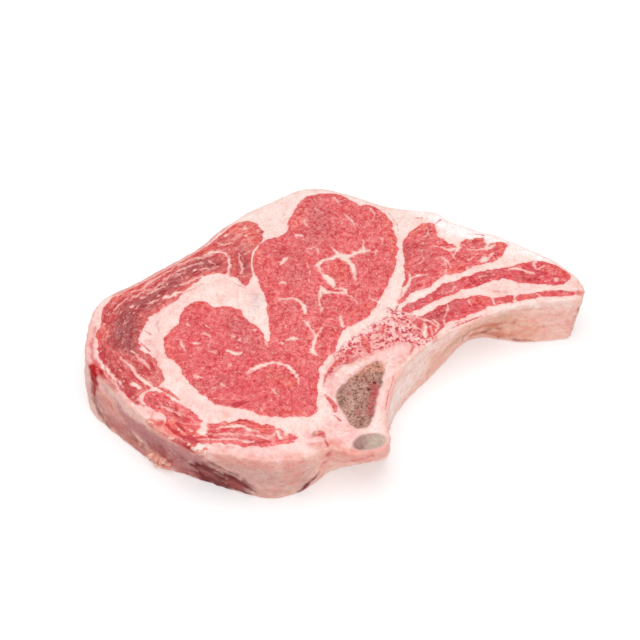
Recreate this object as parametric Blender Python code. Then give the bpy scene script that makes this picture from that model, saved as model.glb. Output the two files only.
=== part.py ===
"""A raw bone-in ribeye steak with its tail, lying on one cut face.

Metres, +Z up. +X runs towards the tip of the tail and +Y towards the fat cap. The fat is one body with a
pocket for each muscle and bone, and these run through it from cut face to cut face. The origin is on the
surface the steak lies on, under the middle of its outline.
"""

import math

import bmesh
import bpy
from mathutils import Vector, noise

MM = 0.001

# Driving dimensions, in millimetres
THICKNESS = 33.0
CLEARANCE = 0.3
FAT_EDGE = 2.4
MEAT_EDGE = 0.8
MEAT_PROUD = 0.4
BONE_SUNK = 0.4
POCKET_OVERRUN = 6.0
OUTLINE_STEPS = 2
LEVELS = (6.0, 12.0, 18.0, 25.0)
MEAT_LEVELS = (25.0,)
POCKET_LEVELS = (MEAT_EDGE, *MEAT_LEVELS)
UNEVENNESS = 0.7
UNEVEN_OVER = 16.0
CAP_SNAP = 0.01
WELD = 0.02
SCORE_SNAP = 0.001

# Shares and angles: how far sideways a face must look to be wall, how much of a push the rims are spared,
# how much finer the unevenness is up the wall than along it, and the angle that counts as a sharp edge
SIDEWAYS = 0.5
RIM_SHARE = 0.2
LAYERING = 1.6
SHARP_DEGREES = 40.0

# Colours in linear RGB, and roughness
FAT_COLOUR = (0.93, 0.72, 0.63)
DEEP_RED = (0.46, 0.075, 0.07)
RED = (0.76, 0.16, 0.165)
BRIGHT_RED = (0.72, 0.14, 0.15)
MARROW_BROWN = (0.42, 0.21, 0.17)
BONE_GREY = (0.52, 0.40, 0.33)
FAT_ROUGHNESS = 0.42
MEAT_ROUGHNESS = 0.38
BONE_ROUGHNESS = 0.6

# The outer outline of the cut face, clockwise from the left end
RIM = (
    (-130.5, -12), (-129.5, 0), (-126, 8), (-119.5, 14.5), (-110, 21), (-100.5, 28.5), (-88, 38.5),
    (-75.5, 48.5), (-68, 58.5), (-59.5, 67), (-48.5, 76.5), (-37.5, 83), (-27, 90), (-18, 94.3),
    (-8, 94.5), (4, 91), (18, 85), (29, 80), (43, 77.5), (55.5, 75), (60, 69.5), (68, 65.5),
    (78, 60.5), (89, 56), (100, 49.8), (110, 43.8), (118, 37.5), (125.5, 29.5), (130.2, 21),
    (129.2, 12), (122, 9.8), (111, 9), (100.5, 6.8), (90, 4), (81.5, 0), (73.5, -4.5), (65.5, -8.7),
    (57, -13), (46.5, -20.5), (37, -30.5), (30.5, -40.5), (26.5, -52), (24.2, -64), (22.8, -72),
    (24.8, -80), (22.5, -88), (14, -91.5), (4, -91.5), (-5, -89.3), (-13, -92.3), (-24, -94.8),
    (-37, -94.8), (-50, -92.8), (-62, -91), (-72.5, -88.5), (-83, -83.5), (-92, -77.5), (-100, -68),
    (-108, -58), (-117, -48), (-125, -40), (-129, -31), (-130.5, -22),
)

# The big muscle, with the deep notch that fat fills from the left
RIB_EYE = (
    (-16, 89.5), (-7, 91.3), (2, 89.8), (8, 85), (13, 82), (17.5, 81.5), (23, 78), (28, 71),
    (31, 61), (32.3, 48), (31, 36), (27, 23), (22.5, 11), (17.5, 1), (10.5, -6.5), (4, -10.5),
    (1, -14), (-0.5, -21), (-5, -30), (-9.8, -37), (-10.5, -48), (-11.5, -60), (-13, -68.3),
    (-21, -68.5), (-29, -69.3), (-37, -68), (-44, -65.5), (-51, -63.3), (-59.5, -61.8), (-66, -57),
    (-73, -50), (-78.5, -43), (-81, -36), (-88, -29.5), (-90.3, -21), (-88.5, -13), (-84, -8),
    (-82.5, -1), (-78.5, 6.5), (-71, 8.3), (-66, 4.5), (-59.5, 5), (-52, 2.5), (-47, -5.5),
    (-41.5, -9.5), (-38.8, -15.5), (-36.9, -19.5), (-35.6, -15), (-37, -5), (-38.2, 8), (-41, 18),
    (-44.3, 27.5), (-46.6, 37), (-45.5, 45), (-41, 52.5), (-32, 57), (-28, 60), (-27.5, 68),
    (-24, 77), (-20.5, 86),
)

# The cap muscle, bent round the left end
CAP_LEAN = (
    (-54, 68.5), (-48, 68.8), (-43.5, 63.5), (-41.8, 57), (-44.5, 51.5), (-48.2, 45), (-48.9, 34),
    (-48.5, 19.5), (-54, 24), (-61, 28), (-68, 28), (-75, 23), (-81, 16.5), (-85, 10), (-92.5, 3),
    (-98, -2.5), (-101.5, -10), (-103.3, -18), (-101, -25.5), (-94, -31), (-91, -38), (-89.5, -45),
    (-94, -50), (-99.5, -54.5), (-101.5, -59), (-107, -55), (-112, -48.5), (-117, -42),
    (-120.5, -34), (-123.5, -25), (-125.3, -15), (-124, -4), (-121.8, 7), (-116, 13), (-107, 18.5),
    (-97.5, 26), (-85.5, 36), (-73.5, 46), (-66, 56), (-60, 63.5),
)

# The strip of lean along the front, below the big muscle
FRONT_LEAN = (
    (-97, -55.5), (-91, -54), (-84, -58.5), (-76, -63.5), (-70.5, -68), (-66.5, -73), (-57, -71.8),
    (-47.5, -70.8), (-38.5, -73.5), (-31, -76), (-26, -79.7), (-20.5, -82), (-27, -86),
    (-36.5, -87), (-45, -87.5), (-54, -85.5), (-63, -85), (-71, -84.5), (-78, -81.5), (-83.5, -78),
    (-86, -73.5), (-84.5, -70), (-91, -65.5), (-96.5, -60.5),
)

# The three muscles of the tail, from the fat cap to the ribs
TAIL_LEAN_UPPER = (
    (35.8, 53), (38.5, 59), (43, 64), (50, 67.5), (54, 65.5), (54.5, 57.5), (58.5, 54), (64, 50.5),
    (68.5, 54), (74, 55.3), (79.3, 56), (81.5, 51.3), (85, 52.5), (91.5, 51.2), (91, 46), (86, 39.5),
    (80.5, 36.3), (73, 34), (65, 28.8), (56.5, 27.3), (52, 22.5), (45.5, 17.5), (38.5, 14.5),
    (34.5, 9), (30.8, 6), (32.3, 12), (34.5, 22), (35.2, 34), (35, 45),
)
TAIL_LEAN_MIDDLE = (
    (33, 4), (40, 8.5), (48, 14), (54, 20), (62, 23.5), (71, 28), (80, 31.3), (91, 34), (100, 37),
    (109, 38.3), (115, 36), (121, 31.5), (124.3, 26), (120.5, 21.3), (110, 20.3), (98, 21.8),
    (87, 24.5), (78, 21.5), (68, 17.5), (57, 11.8), (48, 6.8), (40, 1.8), (35, 0),
)
TAIL_LEAN_LOWER = (
    (39, -5.5), (44, -1.5), (51, 4), (59, 8.5), (67, 11), (75, 13.5), (81, 11.3), (90, 12.5),
    (101, 14), (112, 16), (121, 15.9), (125.6, 14), (121, 12.3), (111, 11.8), (101, 9.9),
    (92, 7.5), (83, 6.5), (76, 2.5), (69, -0.5), (62, -4.8), (57, -6), (52.5, -12), (47, -17),
    (43, -15), (39.8, -10.5),
)

# The sawn bone beside the big muscle, and the smaller one in the knob below it
CHINE_BONE = (
    (-2.8, -55), (2, -47), (10.5, -38.5), (17, -33.8), (22.3, -36), (21.8, -45), (19.3, -55),
    (17.5, -66), (14.5, -73.5), (11.5, -76.3), (5.5, -74), (1.5, -67),
)
BUTTON_BONE = (
    (5.8, -86.5), (8.5, -81.5), (14, -79.3), (19.5, -79.3), (21.7, -82.5), (20, -86.5), (14, -88.2),
    (8.5, -88.5),
)

# Where the walls lean: centre, how far the foot of the wall shifts, how far round that is felt, and how
# far below the cut face it begins
LEANS = (
    {"at": (14, -91), "foot": (0.5, 19), "reach": 18, "starts": 8},  # the knob overhangs
    {"at": (73, -4), "foot": (-2, 14), "reach": 14, "starts": 0},  # the rib's hollow
    {"at": (-73, -88), "foot": (1.8, 4.4), "reach": 17, "starts": 0},  # the front foot tucks in
    {"at": (-120, -45), "foot": (-3.2, -3), "reach": 22, "starts": 0},  # the left foot spreads
    {"at": (131, 16), "foot": (-3, 0), "reach": 11, "starts": 0},  # the cut end of the tail
    {"at": (-45, 85), "foot": (1.6, -2.6), "reach": 36, "starts": 0},  # the fat cap's foot
    {"at": (92, 58), "foot": (-1, -2.2), "reach": 28, "starts": 0},  # the tail's far side
)

# Bulges and hollows of the outer wall: centre, radius and height, a hollow's being negative
SWELLS = (
    {"at": (-131, -26, 16), "radius": 9, "height": 1.4},  # flap of fat at the left end
    {"at": (-114, -57, 4), "radius": 13, "height": 1.6},  # roll of fat at the left foot
    {"at": (-96, -73, 18), "radius": 12, "height": -1.8},  # bare membrane, pulled in
    {"at": (-82, -83, 13), "radius": 11, "height": -1.4},
    {"at": (-90, -79, 4), "radius": 7, "height": 2.2},  # knobbly fat left on the membrane
    {"at": (-38, -95, 17), "radius": 22, "height": 1.8},  # belly of the front fat
    {"at": (-10, -91, 20), "radius": 7, "height": -1.5},  # crease beside the knob
    {"at": (45, -22, 15), "radius": 20, "height": 1.0},  # round back of the rib
    {"at": (106, 9, 16), "radius": 15, "height": 1.4},
    {"at": (-30, 90, 16), "radius": 30, "height": 1.5},  # the fat cap
    {"at": (70, 66, 15), "radius": 22, "height": 1.2},
)


def clear_scene():
    for obj in list(bpy.data.objects):
        bpy.data.objects.remove(obj, do_unlink=True)


def new_collection(name):
    collection = bpy.data.collections.new(name)
    bpy.context.scene.collection.children.link(collection)
    return collection


def finish(name, colour, roughness):
    """A Principled material in the piece's own colour, which is linear RGB."""
    material = bpy.data.materials.new(name)
    material.use_nodes = True
    shader = material.node_tree.nodes["Principled BSDF"]
    shader.inputs["Base Color"].default_value = (*colour, 1.0)
    shader.inputs["Roughness"].default_value = roughness
    shader.inputs["Metallic"].default_value = 0.0
    material.diffuse_color = (*colour, 1.0)
    return material


def bell(distance, reach):
    return math.exp(-0.5 * (distance / reach) ** 2)


def outline_slab(outline, floor, top, edge, grow):
    """A closed smooth outline as a slab, in a mesh object. Its rims are rounded by edge."""
    curve = bpy.data.curves.new("outline", "CURVE")
    curve.dimensions = "2D"
    curve.fill_mode = "BOTH"
    curve.resolution_u = OUTLINE_STEPS
    curve.extrude = ((top - floor) / 2 - edge) * MM
    curve.bevel_depth = edge * MM
    curve.bevel_resolution = 1 if edge > MEAT_EDGE else 0
    curve.offset = (grow - edge) * MM
    spline = curve.splines.new("BEZIER")
    spline.bezier_points.add(len(outline) - 1)
    for point, (x, y) in zip(spline.bezier_points, outline):
        point.co = (x * MM, y * MM, 0.0)
        point.handle_left_type = "AUTO"
        point.handle_right_type = "AUTO"
    spline.use_cyclic_u = True
    drawn = bpy.data.objects.new("outline", curve)
    drawn.location.z = (top + floor) / 2 * MM
    bpy.context.scene.collection.objects.link(drawn)
    bpy.context.view_layer.update()

    graph = bpy.context.evaluated_depsgraph_get()
    mesh = bpy.data.meshes.new_from_object(drawn.evaluated_get(graph))
    mesh.transform(drawn.matrix_world)
    bpy.data.objects.remove(drawn, do_unlink=True)
    bpy.data.curves.remove(curve)
    return mesh


def close_caps(bm, floor, top):
    """Welds the two cut faces to the wall and makes each one face."""
    bmesh.ops.remove_doubles(bm, verts=bm.verts, dist=WELD * MM)
    for height in (floor * MM, top * MM):
        cap = [f for f in bm.faces if all(abs(v.co.z - height) < CAP_SNAP * MM for v in f.verts)]
        bmesh.ops.dissolve_faces(bm, faces=cap)
    bmesh.ops.recalc_face_normals(bm, faces=bm.faces)


def score(bm, levels):
    """Adds a ring of edges round the wall at each height, so that the wall can bend there."""
    for height in levels:
        geometry = list(bm.verts) + list(bm.edges) + list(bm.faces)
        bmesh.ops.bisect_plane(
            bm, geom=geometry, dist=SCORE_SNAP * MM, plane_co=(0, 0, height * MM), plane_no=(0, 0, 1)
        )


def split_wall(bm):
    """Gives the wall faces one diagonal, so that a pocket bends just as the piece in it does."""
    for face in [f for f in bm.faces if len(f.verts) == 4]:
        heights = [v.co.z for v in face.verts]
        if min(heights) < 0.0 or max(heights) > THICKNESS * MM:
            continue
        for loop in face.loops:
            rise = loop.link_loop_next.vert.co.z - loop.vert.co.z
            if abs(rise) < CAP_SNAP * MM and loop.link_loop_prev.vert.co.z > loop.vert.co.z + CAP_SNAP * MM:
                bmesh.utils.face_split(face, loop.vert, loop.link_loop_next.link_loop_next.vert)
                break


def swell_wall(bm):
    """Pushes the outer wall out or in, between its two rims, to leave it as uneven as cut meat."""
    bm.normal_update()
    moves = []
    for vert in bm.verts:
        x, y, z = vert.co / MM
        between = math.sqrt(math.sin(math.pi * min(max(z / THICKNESS, 0.0), 1.0)))
        outward = Vector((vert.normal.x, vert.normal.y, 0.0))
        if between < RIM_SHARE or outward.length < SIDEWAYS:
            continue
        push = UNEVENNESS * between * noise.noise(Vector((x, y, LAYERING * z)) / UNEVEN_OVER)
        for swell in SWELLS:
            push += swell["height"] * bell((vert.co / MM - Vector(swell["at"])).length, swell["radius"])
        moves.append((vert, outward.normalized() * push * MM))
    for vert, move in moves:
        vert.co += move


def lean_walls(bm):
    """Slants everything near the walls as the walls themselves slant, pockets and meat alike."""
    for vert in bm.verts:
        x, y, z = vert.co / MM
        shift = Vector((0.0, 0.0, 0.0))
        for lean in LEANS:
            drop = THICKNESS - z - lean["starts"]
            if lean["starts"]:
                drop = max(drop, 0.0)
            share = drop / (THICKNESS - lean["starts"])
            away = math.dist((x, y), lean["at"])
            shift += Vector((*lean["foot"], 0.0)) * share * bell(away, lean["reach"])
        vert.co += shift * MM


def make_solid(name, outline, floor, top, edge, levels, grow=0.0, wall=False):
    """The leaning solid of one outline. Only the fat's outer wall swells."""
    mesh = outline_slab(outline, floor, top, edge, grow)
    bm = bmesh.new()
    bm.from_mesh(mesh)
    close_caps(bm, floor, top)
    score(bm, levels)
    split_wall(bm)
    if wall:
        swell_wall(bm)
    lean_walls(bm)
    bm.to_mesh(mesh)
    bm.free()
    mesh.name = name
    mesh.materials.clear()
    mesh.shade_smooth()
    mesh.set_sharp_from_angle(angle=math.radians(SHARP_DEGREES))
    return bpy.data.objects.new(name, mesh)


def make_fat(parts):
    fat = make_solid("fat", RIM, 0.0, THICKNESS, FAT_EDGE, LEVELS, wall=True)
    fat.data.materials.append(finish("fat", FAT_COLOUR, FAT_ROUGHNESS))
    parts.objects.link(fat)
    return fat


def make_meat(parts, name, outline, colour):
    """A muscle swells a little above the fat round it."""
    meat = make_solid(name, outline, 0.0, THICKNESS + MEAT_PROUD, MEAT_EDGE, MEAT_LEVELS)
    meat.data.materials.append(finish(name, colour, MEAT_ROUGHNESS))
    parts.objects.link(meat)


def make_bone(parts, name, outline, colour):
    """The saw leaves a bone a little below the meat."""
    bone = make_solid(name, outline, 0.0, THICKNESS - BONE_SUNK, MEAT_EDGE, MEAT_LEVELS)
    bone.data.materials.append(finish(name, colour, BONE_ROUGHNESS))
    parts.objects.link(bone)


def cut_pocket(fat, cutters, name, outline):
    """Cuts the room for one piece out of the fat, wider than the piece by the clearance."""
    floor, top = -POCKET_OVERRUN, THICKNESS + POCKET_OVERRUN
    pocket = make_solid("pocket_" + name, outline, floor, top, 0.0, POCKET_LEVELS, grow=CLEARANCE)
    pocket.hide_render = True
    pocket.display_type = "WIRE"
    cutters.objects.link(pocket)
    cut = fat.modifiers.new("room for " + name, "BOOLEAN")
    cut.operation = "DIFFERENCE"
    cut.solver = "EXACT"
    cut.object = pocket


def centre_footprint(collections, fat):
    """Moves every mesh so that the middle of the fat's footprint is over the origin."""
    spans = [[v.co[axis] for v in fat.data.vertices] for axis in (0, 1)]
    middle = [(min(span) + max(span)) / 2 for span in spans]
    for collection in collections:
        for obj in collection.objects:
            for vert in obj.data.vertices:
                vert.co.x -= middle[0]
                vert.co.y -= middle[1]


def main():
    clear_scene()
    parts = new_collection("ribeye_steak")
    cutters = new_collection("pockets")

    muscles = {
        "rib_eye": (RIB_EYE, RED),
        "cap_lean": (CAP_LEAN, DEEP_RED),
        "front_lean": (FRONT_LEAN, RED),
        "tail_lean_upper": (TAIL_LEAN_UPPER, BRIGHT_RED),
        "tail_lean_middle": (TAIL_LEAN_MIDDLE, BRIGHT_RED),
        "tail_lean_lower": (TAIL_LEAN_LOWER, BRIGHT_RED),
    }
    bones = {
        "chine_bone": (CHINE_BONE, MARROW_BROWN),
        "button_bone": (BUTTON_BONE, BONE_GREY),
    }

    fat = make_fat(parts)
    for name, (outline, colour) in muscles.items():
        make_meat(parts, name, outline, colour)
        cut_pocket(fat, cutters, name, outline)
    for name, (outline, colour) in bones.items():
        make_bone(parts, name, outline, colour)
        cut_pocket(fat, cutters, name, outline)
    centre_footprint((parts, cutters), fat)


main()
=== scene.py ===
import math

import bmesh
import bpy
import numpy as np
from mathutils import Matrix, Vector, kdtree, noise
from mathutils.bvhtree import BVHTree
from mathutils.geometry import delaunay_2d_cdt


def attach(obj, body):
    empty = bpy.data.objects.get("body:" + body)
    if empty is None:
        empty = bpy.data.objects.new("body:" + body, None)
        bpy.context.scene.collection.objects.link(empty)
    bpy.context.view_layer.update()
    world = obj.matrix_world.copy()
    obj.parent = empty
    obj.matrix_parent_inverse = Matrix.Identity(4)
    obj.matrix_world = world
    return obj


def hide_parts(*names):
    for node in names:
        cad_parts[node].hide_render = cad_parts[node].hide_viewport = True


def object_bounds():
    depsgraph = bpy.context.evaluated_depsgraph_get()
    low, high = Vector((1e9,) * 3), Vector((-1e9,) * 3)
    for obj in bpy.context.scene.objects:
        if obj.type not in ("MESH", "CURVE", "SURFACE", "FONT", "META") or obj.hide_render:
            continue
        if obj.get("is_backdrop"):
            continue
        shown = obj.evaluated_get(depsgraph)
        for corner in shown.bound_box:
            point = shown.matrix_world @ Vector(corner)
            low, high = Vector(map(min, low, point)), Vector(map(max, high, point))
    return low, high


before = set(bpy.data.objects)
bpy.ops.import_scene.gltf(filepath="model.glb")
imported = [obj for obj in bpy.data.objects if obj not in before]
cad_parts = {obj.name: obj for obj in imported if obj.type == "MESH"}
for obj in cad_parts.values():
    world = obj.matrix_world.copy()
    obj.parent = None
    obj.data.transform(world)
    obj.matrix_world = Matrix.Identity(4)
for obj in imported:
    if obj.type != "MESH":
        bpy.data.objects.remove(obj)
cad_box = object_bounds()


# The two cut faces
# The saw and the knife went through every tissue in one stroke, so the pieces of the steak share their
# borders on both faces. These are drawn here once, in millimetres, and each piece below is cut from them.

MM = 0.001
THICKNESS = 33.0
BORDER_HEIGHT = 30.0
BORDER_STEP = 0.65
FACE_STEP = 0.67
RIM_ROUND = 1.5
CENTRING = np.array((1.0416, 0.4172))
MUSCLES = ("rib_eye", "cap_lean", "front_lean", "tail_lean_upper", "tail_lean_middle", "tail_lean_lower")
BONES = ("chine_bone", "button_bone")
PIECES = ("fat", *MUSCLES, *BONES)

# The scatter of points on a face: how uneven it is, how clear of the borders, and how near its rows are
GRID_JITTER = 0.06
GRID_CLEAR = 0.55
ROW_SPACING = 0.866

# A border is smoothed by steps that shrink it, each followed by one that swells it again
SMOOTH_IN, SMOOTH_OUT = 0.5, -0.53

# How ragged each border is. It stays straight as far as the first distance from another border, and grows
# ragged over the second.
RAGGED = {"rib_eye": 1.1, "cap_lean": 1.5, "front_lean": 1.6, "chine_bone": 0.8, "button_bone": 0.3}
RAGGED_TAIL = 1.2
STRAIGHT_WITHIN, RAGGED_OVER = 0.8, 2.4

# Random waves, each a height, the size of its lumps and a seed: of the borders and of the upper face
BORDER_WAVES = ((0.8, 5.5, 1), (0.8, 2.6, 2), (0.5, 1.3, 3))
FACE_WAVES = ((0.30, 26, 3), (0.22, 8, 4))

# How high the upper face is at a border beside a bone or a muscle, and away from borders in each tissue, and
# over what distance it rises from one to the other
BONE_BORDER, LEAN_BORDER = 32.25, 32.46
BONE_TOP, LEAN_TOP, FAT_TOP = 32.15, 32.78, 32.62
LEAN_SWELL, FAT_SWELL = 1.5, 1.1

# How far the lower face stands off the ground, and how much more at borders and where it is wavy
OFF_GROUND, GROUND_DIP, GROUND_WAVES = 0.32, 0.25, 0.4

# Where a muscle grows nearer to its neighbour than its solid can: centre, shift and how far that is felt
GROWTHS = {
    "cap_lean": (
        ((-48, 37), (2.0, -0.3), 9), ((-44, 55), (1.2, -1.0), 6), ((-92, -44), (1.4, -1.6), 6),
        ((-111, 17), (-0.6, 0.8), 9), ((-95, 31), (-0.65, 0.85), 10), ((-77, 46), (-0.6, 0.8), 8),
    ),
    "front_lean": (
        ((-84, -78), (-1.0, -0.9), 6), ((-94, -56), (-0.4, 1.4), 6), ((-82, -64), (0.6, 0.8), 5),
        ((-72, -84), (0.0, -1.0), 5),
    ),
    "button_bone": (((22, -83), (1.2, 0.2), 5), ((14, -90), (-0.6, -1.2), 6), ((12, -80), (-0.4, 0.8), 5)),
    "chine_bone": (((20, -34), (0.6, 1.2), 5),),
}

# Where the upper face rises in a nub or sinks in a groove: centre, size and height
LUMPS = (
    ((-68, -87.4), 1.5, 0.6), ((-66.8, -78.3), 1.4, 0.5), ((-88, -75), 2.2, 0.3), ((-94, -69), 2, -0.3),
    ((-119, -42), 3, -0.5), ((28, 62), 1.5, -0.15), ((45, -26), 4, -0.2), ((-30, -80), 1.6, 0.3),
)

# Where the walls lean: centre, how far the foot shifts, how far that is felt, and the depth it starts at
LEANS = (
    ((14, -91), (0.5, 19), 18, 8), ((73, -4), (-2, 14), 14, 0), ((-73, -88), (1.8, 4.4), 17, 0),
    ((-120, -45), (-3.2, -3), 22, 0), ((131, 16), (-3, 0), 11, 0), ((-45, 85), (1.6, -2.6), 36, 0),
    ((92, 58), (-1, -2.2), 28, 0),
)


def cut_line(node, height):
    """The outermost closed line in which a level cut meets a solid, in millimetres."""
    bm = bmesh.new()
    bm.from_mesh(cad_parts[node].data)
    bmesh.ops.remove_doubles(bm, verts=bm.verts, dist=0.001 * MM)
    solid = [*bm.verts, *bm.edges, *bm.faces]
    bmesh.ops.bisect_plane(
        bm, geom=solid, plane_co=(0, 0, height * MM), plane_no=(0, 0, 1), clear_inner=True, clear_outer=True
    )
    lines, seen = [], set()
    for start in bm.verts:
        line, vert = [], start
        while vert is not None and vert not in seen:
            seen.add(vert)
            line.append(vert.co[:2])
            beside = [e.other_vert(vert) for e in vert.link_edges]
            vert = next((v for v in beside if v not in seen), None)
        if line:
            lines.append(np.array(line) / MM)
    bm.free()
    return max(lines, key=lambda line: np.ptp(line[:, 0]))


def evenly(line, step):
    """The closed line again, anticlockwise, with its points a step apart."""
    ahead = np.roll(line, -1, 0)
    if (line[:, 0] * ahead[:, 1] - ahead[:, 0] * line[:, 1]).sum() < 0:
        line = line[::-1]
    closed = np.vstack((line, line[:1]))
    along = np.concatenate(([0.0], np.cumsum(np.linalg.norm(np.diff(closed, axis=0), axis=1))))
    at = np.linspace(0, along[-1], round(along[-1] / step), endpoint=False)
    return np.stack([np.interp(at, along, closed[:, axis]) for axis in (0, 1)], 1)


def rounded(line, passes=24):
    """The closed line with its facets smoothed away and its size kept."""
    for push in (SMOOTH_IN, SMOOTH_OUT) * passes:
        line = line + push * ((np.roll(line, 1, 0) + np.roll(line, -1, 0)) / 2 - line)
    return line


def outward(line):
    """Unit normals that point out of an anticlockwise line."""
    along = np.roll(line, -2, 0) - np.roll(line, 2, 0)
    return np.stack((along[:, 1], -along[:, 0]), 1) / np.linalg.norm(along, axis=1)[:, None]


def rough(places, size, seed):
    """Smooth random values of about -0.5 to 0.5 at places in millimetres, with lumps of that size."""
    size = np.broadcast_to(size, 3)
    return np.array([noise.noise(Vector((*p, 0.0)[:3] / size) + Vector((seed, 0, 0))) for p in places])


def uneven(places, *waves):
    """Several such random values added up."""
    return sum(height * rough(places, size, seed) for height, size, seed in waves)


def bell(points, at, reach):
    """One at a place on the face, and less and less the farther a point is from it."""
    return np.exp(-0.5 * ((points - CENTRING - at) ** 2).sum(1) / reach**2)


def lean(points, height):
    """How far everything near a slanting wall is shifted at a height."""
    shift = np.zeros_like(points)
    for at, foot, reach, starts in LEANS:
        drop = THICKNESS - height - starts
        share = (np.maximum(drop, 0) if starts else drop) / (THICKNESS - starts)
        shift += (share * bell(points, at, reach))[:, None] * np.array(foot)
    return shift


def inside(points, line):
    """Whether each point lies inside the closed line."""
    odd = np.zeros(len(points), bool)
    x, y = points.T
    for (ax, ay), (bx, by) in zip(line, np.roll(line, -1, 0)):
        if ay != by:
            odd ^= ((ay > y) != (by > y)) & (x < (bx - ax) * (y - ay) / (by - ay) + ax)
    return odd


smooth = []
for name in PIECES:
    line = evenly(cut_line(name, BORDER_HEIGHT), BORDER_STEP)
    smooth.append(evenly(rounded(line - lean(line, BORDER_HEIGHT)), BORDER_STEP))
rim = smooth[0]
rim_out = outward(rounded(rim, 6))
smooth[0] = rim - rim_out * RIM_ROUND
borders = smooth[:1]
for number, name in enumerate(PIECES[1:], 1):
    line = smooth[number]
    others = np.vstack([other for other in smooth if other is not line])
    for at, shift, reach in GROWTHS.get(name, ()):
        line = line + bell(line, at, reach)[:, None] * np.array(shift)
    room = np.array([np.hypot(*(others - point).T).min() for point in line])
    height = RAGGED.get(name, RAGGED_TAIL) * np.clip((room - STRAIGHT_WITHIN) / RAGGED_OVER, 0, 1)
    line = line + outward(line) * (height * uneven(line, *BORDER_WAVES))[:, None]
    borders.append(evenly(line, BORDER_STEP))

border_points = np.vstack(borders)
border_owner = np.repeat(np.arange(len(borders)), [len(b) for b in borders])
border_start = np.cumsum([0, *(len(b) for b in borders)])
border_next = np.concatenate([s + np.roll(np.arange(len(b)), -1) for s, b in zip(border_start, borders)])
border_last = np.concatenate([s + np.roll(np.arange(len(b)), 1) for s, b in zip(border_start, borders)])


def gap_to(points, owners):
    """The distance from each point to the nearest of these borders, and the piece whose border it is."""
    chosen = np.flatnonzero(np.isin(border_owner, owners))
    tree = kdtree.KDTree(len(chosen))
    for index in chosen:
        tree.insert((*border_points[index], 0.0), int(index))
    tree.balance()
    nearest = np.array([tree.find((x, y, 0.0))[1] for x, y in points])
    gaps = []
    for other in (border_next, border_last):
        start, span = border_points[nearest], border_points[other[nearest]] - border_points[nearest]
        share = np.clip(((points - start) * span).sum(1) / (span**2).sum(1), 0, 1)
        gaps.append(np.linalg.norm(points - start - share[:, None] * span, axis=1))
    return np.minimum(*gaps), border_owner[nearest]


# The borders and an even scatter of points between them, joined in one mesh of triangles, each of one piece
low, high = borders[0].min(0), borders[0].max(0)
columns, rows = np.arange(low[0], high[0], FACE_STEP), np.arange(low[1], high[1], FACE_STEP * ROW_SPACING)
across, up = np.meshgrid(columns, rows)
across[1::2] += FACE_STEP / 2
spread = np.random.default_rng(7)
grid = np.stack((across.ravel(), up.ravel()), 1) + spread.normal(0, GRID_JITTER, (across.size, 2))
grid = grid[inside(grid, borders[0])]
grid = grid[gap_to(grid, range(len(PIECES)))[0] > GRID_CLEAR * FACE_STEP]
grid_piece = np.zeros(len(grid), int)
for number in range(1, len(PIECES)):
    grid_piece[inside(grid, borders[number])] = number

sheet = np.vstack((border_points, grid))
fences = np.stack((np.arange(len(border_next)), border_next), 1)
drawn = delaunay_2d_cdt([Vector(p) for p in sheet], fences.tolist(), [], 0, 1e-6)
if len(drawn[0]) != len(sheet):
    raise ValueError(f"two borders cross: {len(drawn[0]) - len(sheet)} points too many")
triangles = np.array(drawn[2])
sheet_piece = np.concatenate((np.full(len(border_points), -1), grid_piece))
triangle_piece = sheet_piece[triangles].max(1)
undecided = np.flatnonzero(triangle_piece < 0)
middles = sheet[triangles[undecided]].mean(1)
triangle_piece[undecided[inside(middles, borders[0])]] = 0
for number in range(1, len(PIECES)):
    triangle_piece[undecided[inside(middles, borders[number])]] = number
corner = sheet[triangles]
first, second = corner[:, 1] - corner[:, 0], corner[:, 2] - corner[:, 0]
turned = first[:, 0] * second[:, 1] - first[:, 1] * second[:, 0] < 0
triangles[turned] = triangles[turned][:, ::-1]

# The height of the upper face, which dips at every border, and how far the lower one stands off the ground
border_gap, beside = gap_to(sheet, range(1, len(PIECES)))
border_gap[border_start[1] : len(border_points)] = 0.0
is_lean = (sheet_piece > 0) & (sheet_piece <= len(MUSCLES))
is_bone = sheet_piece > len(MUSCLES)
waves = uneven(sheet, *FACE_WAVES)
border_top = np.where(beside > len(MUSCLES), BONE_BORDER, LEAN_BORDER)
flat_top = np.where(is_lean, LEAN_TOP, np.where(is_bone, BONE_TOP, FAT_TOP))
swell = 1 - np.exp(-border_gap / np.where(is_lean, LEAN_SWELL, FAT_SWELL))
top_height = border_top + (flat_top - border_top) * swell + waves
for at, size, height in LUMPS:
    top_height += height * bell(sheet, at, size)
bottom_height = OFF_GROUND + GROUND_DIP * (1 - swell) + GROUND_WAVES * np.abs(waves)


# The fat
# The steak's body: the fat cap, the seams between the muscles and the lining of the rib, one waxy tissue with
# a room for each muscle and bone. The knife trimmed it at the rim, and membrane is left on its front wall.

WALL_STEP = 1.2
ROUND_ROWS = 4
WALL_INSET = 0.4
CAST_HEIGHTS = np.linspace(3.0, 29.5, 10)
CAST_FROM = 6.0
CAST_SMOOTHING = 30
FACE_FELT_FROM, GROUND_FELT_TO = 24, 5
WALL_WAVES = ((0.55, (6, 6, 3.2), 11), (0.4, (2.4, 2.4, 1.8), 12))
KNOB_LIFT, CREASE_DEPTH = 2.6, 0.7
HIDDEN_ROWS = (31.6, 16.5, 1.4)

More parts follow.
